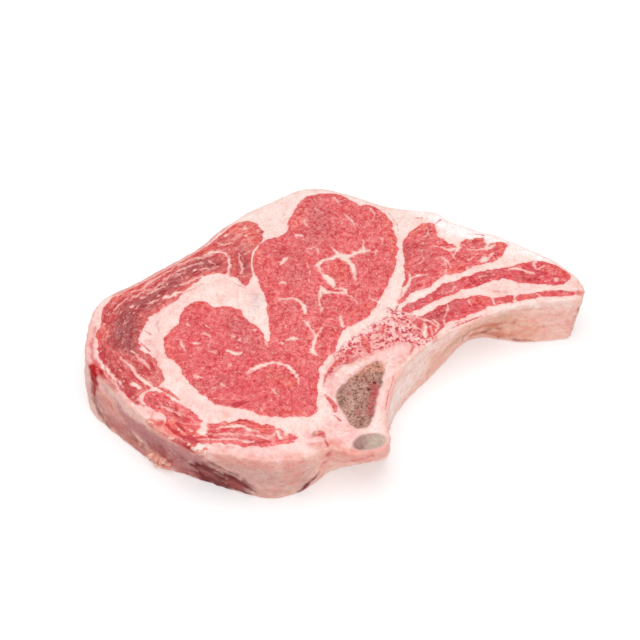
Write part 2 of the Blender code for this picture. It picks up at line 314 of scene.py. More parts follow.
PALE_FAT = (0.94, 0.80, 0.75)
RIM_WHITE = (0.99, 0.95, 0.935)
CREAM = (0.915, 0.74, 0.685)
PALE_PINK = (0.90, 0.55, 0.51)
ROSE = (0.86, 0.43, 0.41)
SALMON = (0.80, 0.33, 0.27)
ORANGE = (0.86, 0.33, 0.22)
MEAT_RED = (0.68, 0.11, 0.105)
BRIGHT_RED = (0.80, 0.15, 0.12)
CRIMSON = (0.42, 0.010, 0.014)
CAP_EDGE = (0.68, 0.22, 0.20)
MAUVE = (0.66, 0.33, 0.33)
BLUE_GREY = (0.72, 0.59, 0.62)
PEACH = (0.90, 0.57, 0.48)
TAN = (0.80, 0.46, 0.34)
OLIVE = (0.60, 0.39, 0.24)
BROWN = (0.60, 0.185, 0.10)
DARK_BROWN_AND_SHADE = (0.32, 0.09, 0.05)
GREY_FAT_AND_SHADE = (0.66, 0.39, 0.34)
SILVERSKIN = (0.52, 0.185, 0.185)
RED_BROWN = (0.40, 0.085, 0.078)
WINE = (0.17, 0.010, 0.013)
CRUST = (0.72, 0.31, 0.24)
MEMBRANE = (0.33, 0.10, 0.09)
FOOT_BROWN = (0.54, 0.16, 0.135)
ROSY_BROWN = (0.66, 0.25, 0.22)

# Seen on the upper cut face: a colour, the softness of its edge, its strength, and its strokes. A stroke is
# its width, or the width at each of its points, and the points.
FACE_LAYERS = (
    (PALE_PINK, 9, 0.75, (8, (3, -72), (14, -84), (-14, -82)), (6, (30, -40), (26, -56), (24, -70)),
     (6, (-60, -79), (-30, -86)), (8, (-112, -42), (-96, -60), (-84, -71)), (3, (47, 71), (82, 58)),
     (5, (-84, 6), (-96, -10)), (12, (22, -28), (34, -24)), (4, (70, -4), (58, -12)),
     (9, (-129, 5), (-130, -20), (-126, -34)), (3, (-44, 16), (-62, 22)), (2, (100, 17), (60, 8)),
     (4, (118, 28), (124, 21), (128, 16)), (5, (-92, 4), (-98, -8), (-95, -22), (-88, -34)),
     (4, (-76, -56), (-62, -66), (-46, -70), (-34, -72)), (4, (-58, -92), (-36, -93), (-20, -92))),
    (ROSE, 3.5, 0.75, ((5, 5, 3, 2), (-5, -42), (-4, -50), (-5, -58), (-1, -68)),
     (2.5, (25, -45), (24.5, -56), (22, -66)), (2, (-9, -77), (-2, -75)),
     (5, (12, -29), (20, -24), (34, -17)), (4, (-129.5, -8), (-129.5, -24), (-125, -36)),
     (2, (-66, -85), (-58, -80)), (2, (-90, 14), (-84, 18)), (1.5, (-98, -20), (-92, -34)),
     (2, (52, 60), (56, 66)), (2, (-110, -56), (-98, -63)), (4, (-5, -73), (2, -78)),
     (3, (0, -84), (5, -80)), (3, (28, -34), (35, -24)), (1.4, (-98, -66), (-92, -66))),
    (MAUVE, 3, 0.7, ((2, 5, 3), (-121, -42), (-115, -48), (-109, -55))),
    (ROSE, 3, 0.5, (5, (-62, -89), (-44, -91.5), (-24, -92.5))),
    (SALMON, 4, 0.7, ((5, 10, 10, 7), (-3, -36), (6, -30), (15, -22), (23, -13))),
    (ROSE, 2.5, 0.7, ((3, 6, 5), (-16, -80), (-10, -83), (0, -85)), ((3, 4), (-6, -43), (0, -43)),
     (3, (3, -48), (6, -44)), ((2, 3, 3), (26, -73), (25.5, -80), (25, -86))),
    (SALMON, 3, 0.85, ((6, 7, 5, 5, 4, 2), (-8, -88), (0, -90), (8, -91), (18, -90), (23, -87), (25, -81))),
    (SALMON, 2, 0.8, ((1.5, 4, 7, 5), (-96, -70), (-91, -74), (-86, -77), (-81, -80)),
     (3, (8, -91), (18, -90), (24, -86)), (2, (-14, -86), (-5, -84)), (0.3, (-24, 66), (-22, 58)),
     (0.5, (-62, -86.5), (-52, -88)), (1.2, (25.5, -79), (26, -85), (23, -91)), (3, (4, -33), (10, -31)),
     (1, (30, -35), (36, -27))),
    (CRUST, 1.6, 0.8, ((1.5, 2.6, 3, 3, 2), (3, -45), (8, -40.5), (13, -36.5), (18, -33.5), (23, -35))),
    (BRIGHT_RED, 2, 0.8, ((2, 5.5, 4), (-93, -71), (-88, -75), (-82, -79))),
    (ORANGE, 1.4, 0.8, ((1.6, 2), (-94, -71.5), (-92, -74)), ((2, 1.6), (-87, -76), (-83, -78))),
    (MEAT_RED, 1, 0.9, ((2.6, 5, 6.5, 4), (-86, -79), (-80, -83), (-75, -86), (-71, -87.5)),
     ((2, 3, 2), (-94, -72), (-91, -74.5), (-87, -73)), (1.6, (-65.5, -89), (-65.3, -91.5)),
     ((3, 6.5, 6, 4, 3.2, 2), (-124.5, -33), (-123.5, -38), (-120.5, -43), (-117, -46.5), (-114, -49.5),
      (-111.5, -52)), ((4, 2), (-102, -57.5), (-100, -60.5)),
     ((2.6, 2.6, 2.2), (122, 14.6), (128, 14.2), (133, 13.2)), (0.8, (89, 15), (82, 15.5)),
     ((3.4, 5), (13.5, -19), (14.5, -25)), (2.4, (2.5, -28), (5, -30)), (2.2, (21.5, -10.5), (24, -9.5)),
     (2.2, (30, -13), (34, -18)), (1.8, (29, -4), (34, -8)), ((4, 5), (39, -4), (41, -13)),
     (2, (44, -13), (43, -17)), (2, (18, -13), (25, -14)), (2, (50, -17), (48, -20))),
    (CAP_EDGE, 0.8, 0.9,
     ((1.6, 2.6, 3, 3.2, 3.2, 3, 2.6, 2, 0.8), (-119.5, 12.6), (-114.4, 16.6), (-106.9, 21.8),
      (-99.4, 27.9), (-91.1, 34.3), (-82.9, 40.6), (-74.6, 47.8), (-68.8, 55.8), (-61.5, 63.8)),
     ((0.5, 1.6, 1.6), (-126, -10), (-127, -22), (-125.5, -32))),
    (RED_BROWN, 1, 0.85,
     ((0.8, 1.6, 2.6, 3, 1.6), (-8, -47), (-6.5, -42), (-3, -37), (0.5, -34), (1, -30.5)),
     (1.8, (3, -34), (8, -31)), (1.6, (43.5, -7), (43.2, -8)), (1.2, (38, -13), (38.4, -14)),
     (1.6, (-13, -81), (-12.5, -80)), ((1.2, 1.2, 0.8), (-10, -78), (-7.5, -82), (-6.5, -87))),
    (RIM_WHITE, 3, 0.95,
     ((4, 9, 13, 12, 10, 9, 8, 6, 3), (42, 77), (51, 74), (59, 68), (67, 63), (76, 59.5), (86, 56),
      (96, 50), (106, 43), (118, 32)), (5, (60, 60), (60, 66)), (1.5, (48, 33), (62, 38), (74, 44)),
     (5, (86, 44), (96, 46))),
    (BLUE_GREY, 3.5, 0.85, ((2.5, 1), (-44, 13), (-43.5, 4))),
    (BROWN, 1.6, 0.6, ((2, 2), (-12, -79), (-9, -80.5)), (1.4, (-6, -84), (-5, -88))),
    (MAUVE, 0.5, 0.8, (0.6, (-88, 7), (-92, 4), (-97, -1)), (0.6, (-93, -2), (-94.5, -8), (-93, -13)),
     (0.7, (-98, -19), (-94, -25)), (0.6, (-76, 19), (-72, 21))),
    (CRIMSON, 1.2, 1, ((3, 5.4, 3.6), (-125, -36.5), (-123, -39.8), (-120.2, -44)),
     (1.8, (-116.5, -47), (-113, -50.5)),
     ((2, 4.2, 5.8, 3.6), (-82, -81.5), (-78, -83.5), (-74, -85.5), (-71, -86)),
     (2.4, (-103, -57), (-101, -60))),
    (SALMON, 1.6, 0.6,
     ((2.4, 3, 2.4, 2, 1.4), (-60, -91), (-50, -93.4), (-38, -94.4), (-26, -94.8), (-16, -93))),
    (PALE_FAT, 0.9, 0.95, (4.6, (-69, -87.6), (-66.8, -88.6))),
    (RIM_WHITE, 0.9, 0.95, ((1.8, 4.2), (-66.3, -74), (-66.8, -78.4))),
)

# Blood and lean in the fat, with crisp edges, and where the fat over the bone is spongy with lean
BLOOD_LINES = (
    ((0.4, 1), (-102, -21), (-97, -26)), ((0.3, 0.7), (-101, -12), (-97, -15)),
    ((1, 2.6, 1), (-91, -50), (-86, -53), (-80, -58)),
    ((0.3, 0.8, 1.8, 2.2, 1), (-8, -49), (-7, -43), (-4, -37), (0, -33), (2, -30)),
    ((1.4, 1), (3, -34), (7, -31)),
    ((1.2, 2.4, 2.8, 1.8), (-7, -55.5), (-4.5, -59), (-2.7, -62), (-2.3, -65.5)),
    ((0.5, 1.2), (-3, -68), (0, -71)), ((0.3, 0.9, 1.5, 0.4), (27, -43), (26, -50), (24, -57), (22.5, -65)),
    ((0.8, 1.4, 0.8, 0.3), (77, -1.5), (70, -4.5), (62, -8), (57, -11.5)), ((0.2, 0.5), (66, -5), (60, -7)),
    ((1.8, 0.8), (38, -23), (36, -28)), ((2, 3.4, 1.4), (12, -17), (14, -22), (15, -27)),
    ((1.6, 1), (4, -28), (8, -24)), ((1.6, 1), (23, -9), (22, -15)), ((2.2, 2), (-65.4, -89), (-65.2, -91)),
    ((1.8, 1.4), (-71.4, -87.4), (-71, -89)), ((1.4, 1.4), (-69, -80.4), (-67, -81)),
    ((0.15, 0.3, 0.1), (28.5, 75), (32.5, 66), (33.2, 60)), ((1.4, 1.6), (-11.5, -80.5), (-10, -79.5)),
    ((1.6, 1), (-8.5, -78.5), (-8, -81)), ((1, 1.4), (-7, -84), (-6, -86.5)),
    ((0.7, 0.3), (43, 71), (47, 71)), ((0.4, 0.7), (74, 59), (80, 57.5)),
    ((0.3, 0.5, 0.2), (-55, 21), (-52, 19.5), (-49, 18)),
    ((0.2, 0.6, 0.2), (-84, 13), (-78, 17), (-75, 18)), ((0.8, 0.6, 0.3), (31, 5), (28, -1), (29, -6)),
    ((1.4, 0.9), (34, -3), (38, -5)), ((0.5, 1), (54, 67), (57, 70)), ((0.4, 0.8), (-104, -59), (-97, -62)),
    ((3.2, 3), (-73.4, -83), (-70.8, -86)), ((1.2, 1.6), (-122.5, -38), (-122, -45)),
)
SPONGY = (
    ((9, 13, 16, 18, 20, 18, 7), (1.5, -30.5), (8, -25), (15, -20), (24, -14), (33, -9), (41, -15),
     (46, -20)), ((1.6, 4, 6), (-7, -46), (-4, -38), (3, -31)), ((3, 6), (26, 2), (33, -2)),
)

# Seen on the walls: the same, at places that have a height
WALL_LAYERS = (
    (PALE_FAT, 8, 0.75, (12, (-100, 28, 27), (-72, 51, 24), (-41, 80, 26), (-15, 95, 24)),
     (10, (84, 59, 24), (103, 48, 22), (124, 32, 24)), (12, (14, 88, 11), (39, 78, 9), (55, 76, 12)),
     (10, (-130, -13, 12), (-123, 10, 10))),
    (ROSE, 6, 0.5, (7, (-112, 18, 9), (-92, 34, 8)), (6, (-52, 72, 8), (-29, 88, 9)),
     (6, (26, 82, 24), (46, 78, 26)), (5, (68, 67, 8), (90, 55, 9)), (5, (124, 32, 8), (126, 22, 12))),
    (BROWN, 1.2, 0.4, ((0.4, 1.2, 0.4), (-84, 40, 19), (-72, 51, 17), (-52, 72, 18)),
     ((0.4, 1), (0, 93, 20), (26, 82, 18)), ((0.4, 1), (84, 59, 16), (103, 48, 15))),
    (PALE_PINK, 9, 0.8, (14, (-130, -10, 20), (-128, -28, 18), (-122, -42, 24)),
     (8, (112, 9, 24), (124, 10, 14)), (6, (-70, -88, 31), (-40, -94, 31), (-20, -93, 31))),
    (PALE_FAT, 3, 0.8, ((2, 4, 5, 5), (78, 0, 32.5), (92, 6, 31), (108, 8, 30), (124, 9, 29)),
     ((10, 18, 20, 16, 10, 4), (26, -62, 18), (28, -52, 17), (33, -41, 19), (42, -30, 22), (52, -19, 26),
      (62, -8, 29))),
    (ROSY_BROWN, 4, 0.85,
     ((10, 14, 14, 12, 8), (-124, -41, 16), (-120, -46, 16), (-115, -51, 14), (-110, -56, 12),
      (-104, -62, 12))),
    (SALMON, 2, 0.7, ((4, 5.5, 4), (-120, -45.6, 23), (-117, -48, 21), (-114.5, -50.5, 20)),
     (3, (-117, -49, 14), (-113, -53, 13))),
    (TAN, 6, 0.9, (8, (49, -20, 12), (57, -11, 13), (65, -3, 14)),
     (12, (72, 2, 22), (84, 6, 20), (96, 7, 18)), (8, (80, 7, 8), (104, 8, 9)),
     (3, (42, -27, 10), (48, -20, 14)), (3, (34, -40, 5), (40, -30, 7))),
    (PEACH, 5, 0.8, (4, (35, -34, 20), (50, -18, 24), (62, -6, 27)), (4, (100, 7, 27), (118, 9, 25))),
    (PALE_FAT, 4, 0.65, (7, (30, -43, 16), (36, -33, 18), (42, -26, 21)),
     (10, (30, -44, 6), (33, -37.4, 7), (38.2, -29.8, 9.8), (43.4, -25, 14.6))),
    (OLIVE, 4, 0.85, ((4, 6), (58, -10, 16), (68, -2, 18)), (1, (86, 4, 26), (94, 6, 25))),
    (BROWN, 3, 0.95, ((4, 7, 8, 3), (70, 0, 17), (77, 3, 18), (83, 6, 16), (88, 6, 19)),
     ((5, 4, 2), (73, 5, 9), (88, 9, 6), (95, 8, 6))),
    (ORANGE, 3, 0.65, ((5, 5, 2), (89, 7, 12), (95, 7, 9), (101, 8, 7)),
     ((2, 3), (103, 7, 13), (112, 8, 9)), ((1.5, 2), (96, 6, 20), (104, 7, 18))),
    (GREY_FAT_AND_SHADE, 5, 0.95,
     ((8, 16, 20, 18, 10), (-56, -91, 25), (-42, -95, 22), (-30, -96, 14), (-20, -94, 12), (-15, -92, 18)),
     (6, (-44, -95, 6), (-30, -96, 4)), (6, (-24, -95, 24), (-17, -94, 24)),
     (8, (-44, -94.5, 24), (-36, -95, 23), (-28, -96, 21))),
    (SALMON, 3, 0.8,
     ((6, 8, 7, 5, 4, 3), (-58, -90, 29), (-49, -92.5, 29.5), (-42, -93.5, 29.5), (-33, -94.5, 29),
      (-22, -94.5, 29), (-14, -93, 29))),
    (SALMON, 3.5, 0.8, ((2.5, 3.5, 1.5), (-56, -90, 31), (-48, -92, 31), (-36, -93, 31)),
     (2, (-21, -94, 29), (-19, -94, 22), (-22, -94, 12)),
     ((3, 6, 3), (-5, -89, 29), (-6, -88, 20), (-8, -86, 10)), (9, (-2, -89, 22), (6, -88, 18)),
     ((6, 8, 9, 7, 4), (-4, -89, 29), (1, -90, 30), (13, -91.5, 29), (23, -87.5, 29), (26, -80, 30)),
     (1.5, (-24, -96, 20), (-31, -96, 9)), ((3, 5, 5), (-118, -48, 25), (-115, -51, 21), (-111, -56, 16)),
     (1.5, (124, 10, 16), (127, 12, 6))),
    (FOOT_BROWN, 3, 0.9,
     ((7, 9, 10, 9, 8, 6), (-118, -49, 6), (-114, -53, 7), (-110, -57, 7), (-105, -62, 5), (-101, -66, 4),
      (-96, -70.5, 4))),
    (MAUVE, 3, 0.8, ((3, 3, 2), (-122, -46, 18), (-121, -48, 12), (-118, -52, 7)),
     ((3, 4), (-118, -47, 29), (-112, -54, 26))),
    (MEMBRANE, 1.6, 0.85,
     ((2.4, 4, 4.5, 4.5, 4, 3), (-125, -40, 24), (-124.3, -41, 20), (-123.8, -42, 14), (-123.2, -43, 8),
      (-121, -46.5, 4), (-118, -50, 2))),
    # Pale pink lines on the left and front walls, and a band along the top of the left wall that is the fat's
    # own pale pink and also painted light, brightening it where the rounded edge turns up to the face.
    (PALE_PINK, 2, 0.75, ((0.8, 1.6, 0.8), (-119, -47, 26), (-114, -52, 24), (-110, -57, 25)),
     ((2, 4.5, 5, 3), (-116, -50, 31), (-108, -58, 30.5), (-100, -66, 31), (-97, -69, 31.5)),
     (1, (-117, -52, 13), (-112, -58, 8)), (1.5, (-36, -96, 12), (-24, -96, 8)),
     (1.2, (-50, -93, 18), (-42, -95, 14))),
    (SILVERSKIN, 2, 0.95,
     ((5, 9, 13, 16, 16, 16, 14, 10, 4), (-110, -56, 22), (-105, -61, 19), (-99, -66, 18.5),
      (-92, -72, 19.5), (-86, -78, 21.5), (-80, -81, 21), (-74, -85, 21), (-69, -87, 22), (-63, -89, 22))),
    (SALMON, 2, 0.85, ((1.5, 3.5, 6, 5), (-97, -70, 32), (-93, -73, 31), (-88, -78, 30.5), (-83, -81, 32))),
    (MEAT_RED, 1.6, 0.9,
     ((3, 6, 8, 7), (-84, -81, 32), (-79, -84, 31.5), (-75, -86.5, 30.5), (-70.5, -89, 30.5)),
     (1.6, (-95, -72, 32.5), (-92, -75, 31.5))),
    (RED_BROWN, 1.6, 0.9,
     ((1, 2, 2.5, 3, 3.5, 5, 6, 8, 10, 10, 10, 7), (-112, -55, 16), (-110, -58, 13), (-106, -62, 12),
      (-103, -65, 10), (-100, -68, 9), (-96, -71, 11), (-91, -74, 13), (-85, -78, 13), (-82, -80, 10),
      (-79, -81, 6), (-75, -82, 5), (-68, -85, 4))),
    (SILVERSKIN, 2, 0.9, ((4, 6, 5), (-82, -79.5, 14), (-76, -82.5, 12.5), (-71, -84, 10))),
    (SILVERSKIN, 2, 0.5, ((3, 4), (-79, -82, 8), (-72, -85, 8)), (1.4, (-88, -76, 14), (-82, -80, 14))),
    (MEMBRANE, 3, 0.5, ((2, 5, 7, 9), (-97, -68, 17), (-90, -74, 19), (-83, -79, 18.5), (-76, -83, 16)),
     ((1, 3), (-92, -72.5, 12), (-84, -78.5, 12)),
     ((3, 5, 6, 6, 3), (-60, -89.5, 19), (-57, -90, 18), (-51, -91.5, 15.5), (-45, -93.2, 12.5),
      (-40, -94.5, 8))),
    (WINE, 2.4, 0.95,
     ((1, 5, 13, 14, 12, 12, 11, 8, 3), (-77, -82, 15.5), (-72, -84.4, 14.5), (-66.7, -86.6, 13.5),
      (-62.8, -88, 12.5), (-59, -89, 11), (-54, -90.6, 11.5), (-49, -92, 10), (-46, -92.8, 8.5),
      (-43, -94, 7)),
     ((3, 8, 10, 10, 9, 7, 5), (-72, -83.2, 8), (-68, -84.8, 7.5), (-65, -85.8, 6), (-61, -87, 5),
      (-57, -88.6, 4.5), (-51, -91, 4.5), (-46, -93, 3)),
     ((2, 3.4, 3.2, 0.8), (-19, -91, 2), (-15, -90, 5), (-12, -88, 8), (-9.5, -86, 10.5))),
    (RED_BROWN, 1.8, 0.75, ((4, 3), (-74, -83, 8), (-70, -84.5, 5)),
     ((3, 5.5, 3), (-67, -86.2, 12), (-64, -86.8, 10), (-61, -87.6, 8)),
     ((2.5, 5, 3), (-55, -90, 8), (-50, -91.6, 7.5), (-46.5, -92.8, 6))),
    (GREY_FAT_AND_SHADE, 1.2, 0.55, ((0.6, 1.6, 0.8), (-60.5, -89, 15), (-58, -89.4, 12.6), (-55, -90, 11.5))),
    (GREY_FAT_AND_SHADE, 0.8, 0.8,
     ((0.4, 1.2, 1.6, 1.4, 0.3), (-65, -88.6, 21.5), (-61, -89, 19.5), (-57, -89.8, 17.6),
      (-53, -91.3, 16.6), (-48, -92.8, 15))),
    # A thin grey line along the foot of the left wall: painted shade where the wall meets the ground.
    (GREY_FAT_AND_SHADE, 2, 0.7, (1.2, (-119, -52, 2), (-110, -61, 1), (-98, -70, 1))),
    (PEACH, 1.6, 0.9, ((3.5, 5.5, 5, 3), (-94, -73, 9), (-90, -76, 9), (-87, -78, 6), (-84, -80, 5))),
    # Dark brown lines: seams and lines along creases in the walls, and painted shade beside and under the
    # knobs of fat and along the foot, where the walls meet the ground.
    (DARK_BROWN_AND_SHADE, 0.9, 0.75,
     ((0.6, 1.1, 1.3, 1.6, 0.8), (-114.2, -52.7, 4.6), (-110, -56.5, 5.4), (-106, -61, 7), (-102, -64.3, 8),
      (-98, -68, 9.4)),
     ((0.3, 0.7, 0.9, 0.7, 0.3), (-66, -88.3, 23.4), (-61.3, -89, 21.4), (-57.5, -89.7, 19.4),
      (-53.5, -91.4, 18.6), (-49, -92.6, 17)), ((0.4, 1, 0.6), (-58, -90, 4), (-48, -93, 3), (-39, -95, 2)),
     ((1.2, 0.5), (-88, -77, 10), (-86.5, -78, 8.5)),
     ((0.5, 1.4, 1.6, 0.6), (70, -4, 26), (75, -1, 25), (81, 4, 21), (86, 6, 16)),
     ((1.4, 2.6, 2.2, 1.2, 0.5), (79, 8, 9), (83, 7, 11.5), (88, 7, 12.5), (92, 6, 15.5), (95, 6, 19)),
     ((0.5, 1.2, 0.7), (67, -1, 18), (67, -1, 14), (67, 3, 7)),
     ((0.6, 1.2, 0.6), (86, 9, 4), (96, 8, 3), (106, 8, 2)),
     ((0.9, 0.9, 0.6, 0.2), (131, 15, 27), (129, 12, 23), (128, 11, 17), (127, 11, 12)),
     ((0.8, 1.2, 1, 0.4), (-122.5, -43, 18), (-121, -45, 12), (-118, -49, 8), (-115, -52, 5)),
     ((0.6, 0.4), (-90, -75, 4), (-84, -79, 3)), (0.5, (-96, -72, 3), (-92, -75, 2))),
    (BROWN, 0.8, 0.5,
     ((0.6, 0.9, 0.9, 0.7, 0.4), (84, 2, 30), (92, 5, 29.5), (102, 7, 28.5), (113, 8, 27), (121, 9, 26)),
     ((0.6, 1.2, 0.5), (88, 6, 17), (96, 7, 20), (106, 8, 22)),
     ((0.5, 0.9, 0.5), (100, 8, 14), (112, 9, 13), (120, 9, 15))),
    (MEAT_RED, 0.9, 0.8, ((1.4, 2.4, 1), (-8.2, -85.9, 17), (-6.8, -86.8, 20), (-5.9, -87.6, 23)),
     ((4, 8, 6.5, 4), (-125.5, -34, 31), (-124, -39, 30), (-123, -41.8, 26.5), (-122, -43, 23.5)),
     ((0.3, 1.2, 0.3), (7, -91, 27), (14, -91, 29), (20, -89, 30)),
     ((0.9, 1.7, 0.8), (-4, -88.2, 31.6), (-4.3, -88.1, 29), (-5.3, -87.9, 26))),
    (CRIMSON, 1.2, 1, ((4, 6.6, 4), (-124.8, -36.5, 32), (-123.8, -40, 30.5), (-123, -42, 27)),
     ((3, 1.6), (-123.5, -41.8, 23), (-123.6, -42.4, 18)), ((2.5, 4), (-77, -86, 31.5), (-72, -88, 31))),
    (PALE_FAT, 1, 0.9, (3.4, (-69, -89, 32.4), (-66, -90, 32.2))),
)

# Where the wall is knobbly with scraps of fat, and where it is creased, as strokes with soft edges
KNOBBLY = (
    ((3, 6, 3), (-95, -72, 7), (-90, -75, 7), (-83, -79, 7)), (1, (-118, -48, 24), (-112, -55, 20)),
)
CREASES = (
    (1.2, (-3, -88, 33), (-6, -89, 27), (-7, -88, 19), (-9, -86, 11)),
    (1, (-115, -54, 15), (-108, -61, 10), (-99, -68, 8), (-95, -72, 8)),
    (0.8, (-66, -88, 27), (-56, -91, 18), (-45, -94, 9)), (1, (71, -3, 26), (82, 4, 20), (88, 7, 12)),
    (0.8, (-121, -46, 24), (-113, -54, 23), (-105, -62, 27)),
    (0.6, (2, -88, 23), (12, -90, 25), (22, -88, 26)), (0.9, (-84, 40, 19), (-72, 51, 17), (-52, 72, 18)),
    (0.7, (0, 93, 20), (14, 88, 19), (26, 82, 18)), (0.8, (84, 59, 16), (103, 48, 15), (113, 40, 17)),
)
KNOB_SOFT, CREASE_SOFT, CREASE_MIDDLE = 4, 1.4, 0.6

# Where the knife took more off the wall: centre, depth, and how far that is felt sideways and upward
TRIMS = (((-121, -56, 5), 2.4, (13, 8)),)

# Strokes of colour have uneven edges: the waves, the most of them, and how much of them for a softness
EDGE_WAVES = ((0.9, 4.5, 40), (0.7, 1.8, 41))
EDGE_RAGGED, RAGGED_OF_SOFT = 2.4, 1.2
FAR_OUTSIDE = -9.0

GRAIN_INPUTS = ("Grain size", "Grain height", "Lump size", "Lump height")
SHARP_FROM = math.radians(62)

# How much of the walls' colour there is on the face's rim, and how far in and down it changes over
RIM_SHARE = 0.35
RIM_INWARD, RIM_DOWNWARD = 1.4, 2.6
RIM_ABOVE = 0.4

# The grain: its size and height, its lumps' size and height, the distance over which it fades at a border,
# and how much of it there is on the walls
FAT_GRAIN = (1.4, 0.16, 6, 0.5)
FAT_FADE = 0.8
WALL_GRAIN = 0.3

# The pink and the reds of spongy fat and of blood in the fat, in their pale and their dark spots
SPONGE_PINK = (0.88, 0.43, 0.42)
SPONGE_RED, SPONGE_DARK = (0.74, 0.13, 0.14), (0.44, 0.025, 0.04)
BLOOD_PALE, BLOOD_DARK = (0.78, 0.17, 0.15), (0.60, 0.05, 0.06)


def strips(upper, lower, flip):
    """The triangles of a band of wall between two closed rows of points."""
    a, b, c, d = upper, lower, np.roll(lower, -1), np.roll(upper, -1)
    faces = np.vstack((np.stack((a, b, c), 1), np.stack((a, c, d), 1)))
    return faces[:, ::-1] if flip else faces


def new_object(name, data):
    """An object in the scene, made of a mesh, a light or a camera."""
    obj = bpy.data.objects.new(name, data)
    bpy.context.scene.collection.objects.link(obj)
    return obj


def cut_piece(name, walls):
    """One piece of the steak: its part of both faces, and for each of its borders the rows of wall points.

    It gives the object, each point's place on the drawn face, and whether it is on a cut face.
    """
    number = PIECES.index(name)
    top = triangles[triangle_piece == number]
    used, top = np.unique(top, return_inverse=True)
    top = top.reshape(-1, 3)
    count = len(used)
    above = np.column_stack((sheet[used], top_height[used]))
    under = np.column_stack((sheet[used] + lean(sheet[used], 0.0), bottom_height[used]))
    points, flats, faces = [above, under], [sheet[used], sheet[used]], [top, top[:, ::-1] + count]
    local = np.full(len(sheet), -1)
    local[used] = np.arange(count)
    total = 2 * count
    for owner, rows in walls:
        line = local[border_start[owner] : border_start[owner + 1]]
        upper = line
        for row in rows:
            lower = total + np.arange(len(line))
            faces.append(strips(upper, lower, number != owner))
            points.append(row)
            flats.append(borders[owner])
            total += len(line)
            upper = lower
        faces.append(strips(upper, line + count, number != owner))
    mesh = bpy.data.meshes.new(name + "_shown")
    mesh.from_pydata(np.vstack(points) * MM, [], np.vstack(faces))
    on_face = np.arange(total) < 2 * count
    return new_object(name + "_shown", mesh), np.vstack(flats) - CENTRING, on_face


def hidden_wall(owner, inset):
    """Rows of the wall between the fat and another piece, moved into that piece by an inset."""
    line = borders[owner]
    clear = line - outward(line) * inset
    return [np.column_stack((clear + lean(clear, z), np.full(len(line), z))) for z in HIDDEN_ROWS]


def stroke(places, widths, *path):
    """How far inside a drawn stroke each place lies, in millimetres, and below zero outside it."""
    path = np.array(path, float)
    widths = np.broadcast_to(widths, len(path)).astype(float)
    best = np.full(len(places), FAR_OUTSIDE)
    if len(path) == 1:
        return widths[0] / 2 - np.linalg.norm(places - path[0], axis=1)
    for start, end, wide, narrow in zip(path, path[1:], widths, widths[1:]):
        span = end - start
        share = np.clip((places - start) @ span / (span @ span), 0, 1)
        gap = np.linalg.norm(places - start - share[:, None] * span, axis=1)
        best = np.maximum(best, (wide + (narrow - wide) * share) / 2 - gap)
    return best


def strokes(places, drawn):
    """The same for several strokes together."""
    return np.max([np.full(len(places), FAR_OUTSIDE), *(stroke(places, *one) for one in drawn)], axis=0)


def within(depth, soft, middle=0.5):
    """None well outside a stroke, all of it well inside, and a share between, over a soft edge."""
    return np.clip(depth / soft + middle, 0, 1)


def rim_offsets():
    """How far the solid's own wall stands out from the rim, for each rim point at each cast height."""
    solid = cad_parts["fat"].data
    tree = BVHTree.FromPolygons([v.co / MM for v in solid.vertices], [p.vertices for p in solid.polygons])
    found = np.zeros((len(CAST_HEIGHTS), len(rim)))
    for level, z in enumerate(CAST_HEIGHTS):
        starts = rim + lean(rim, z) + rim_out * CAST_FROM
        for index, (start, out) in enumerate(zip(starts, rim_out)):
            hit = tree.ray_cast(Vector((*start, z)), Vector((*-out, 0.0)), 2 * CAST_FROM)
            found[level, index] = CAST_FROM - hit[3] if hit[0] is not None else 0.0
    for _ in range(CAST_SMOOTHING):
        found = (np.roll(found, 1, 1) + np.roll(found, -1, 1) + 2 * found) / 4
    return found


def outer_wall():
    """Rows of the fat's outer wall, from just below the upper face to just above the lower one."""
    offsets = rim_offsets()
    turns = [math.radians(90 * k / (ROUND_ROWS + 1)) for k in range(1, ROUND_ROWS + 2)]
    profile = [(RIM_ROUND * math.sin(t), THICKNESS - RIM_ROUND * (1 - math.cos(t))) for t in turns]
    straight = round((THICKNESS - 2 * RIM_ROUND) / WALL_STEP)
    profile += [(RIM_ROUND, z) for z in np.linspace(THICKNESS - RIM_ROUND, RIM_ROUND, straight + 1)[1:]]
    profile += [(RIM_ROUND * math.cos(t), RIM_ROUND * (1 - math.sin(t))) for t in turns[:-1]]
    start = borders[0]
    lift = top_height[: len(start)] - THICKNESS
    drop = bottom_height[: len(start)]
    rows = []
    for reach, z in profile:
        share = reach / RIM_ROUND
        pushed = np.array([np.interp(z, CAST_HEIGHTS, column) for column in offsets.T]) - WALL_INSET
        for at, depth, felt in TRIMS:
            away = ((start - CENTRING - at[:2]) ** 2).sum(1) / felt[0] ** 2 + ((z - at[2]) / felt[1]) ** 2
            pushed -= depth * np.exp(-0.5 * away)
        line = start + rim_out * (reach + share * pushed)[:, None]
        line = line + lean(line, z)
        near_top = np.clip((z - FACE_FELT_FROM) / (THICKNESS - FACE_FELT_FROM), 0, 1)
        near_foot = np.clip((GROUND_FELT_TO - z) / GROUND_FELT_TO, 0, 1)
        z_line = z + lift * near_top + drop * near_foot
        places = np.column_stack((line, z_line))
        lumps = 1 + KNOB_LIFT * within(strokes(places, KNOBBLY), KNOB_SOFT)
        relief = uneven(places, *WALL_WAVES)
        relief -= CREASE_DEPTH * within(strokes(places, CREASES), CREASE_SOFT, CREASE_MIDDLE)
        line = line + rim_out * (share * relief * lumps)[:, None]
        rows.append(np.column_stack((line, z_line)))
    return rows


def laid_on(places, ground, layers):
    """A ground colour with strokes of other colours laid over it, one value for each place."""
    colours = np.tile(np.array(ground), (len(places), 1))
    ragged = uneven(places, *EDGE_WAVES)
    for tint, soft, strength, *drawn in layers:
        depth = strokes(places, drawn) + min(EDGE_RAGGED, RAGGED_OF_SOFT * soft) * ragged
        share = within(depth, 2 * soft)
        colours += (strength * share * share * (3 - 2 * share))[:, None] * (np.array(tint) - colours)
    return colours


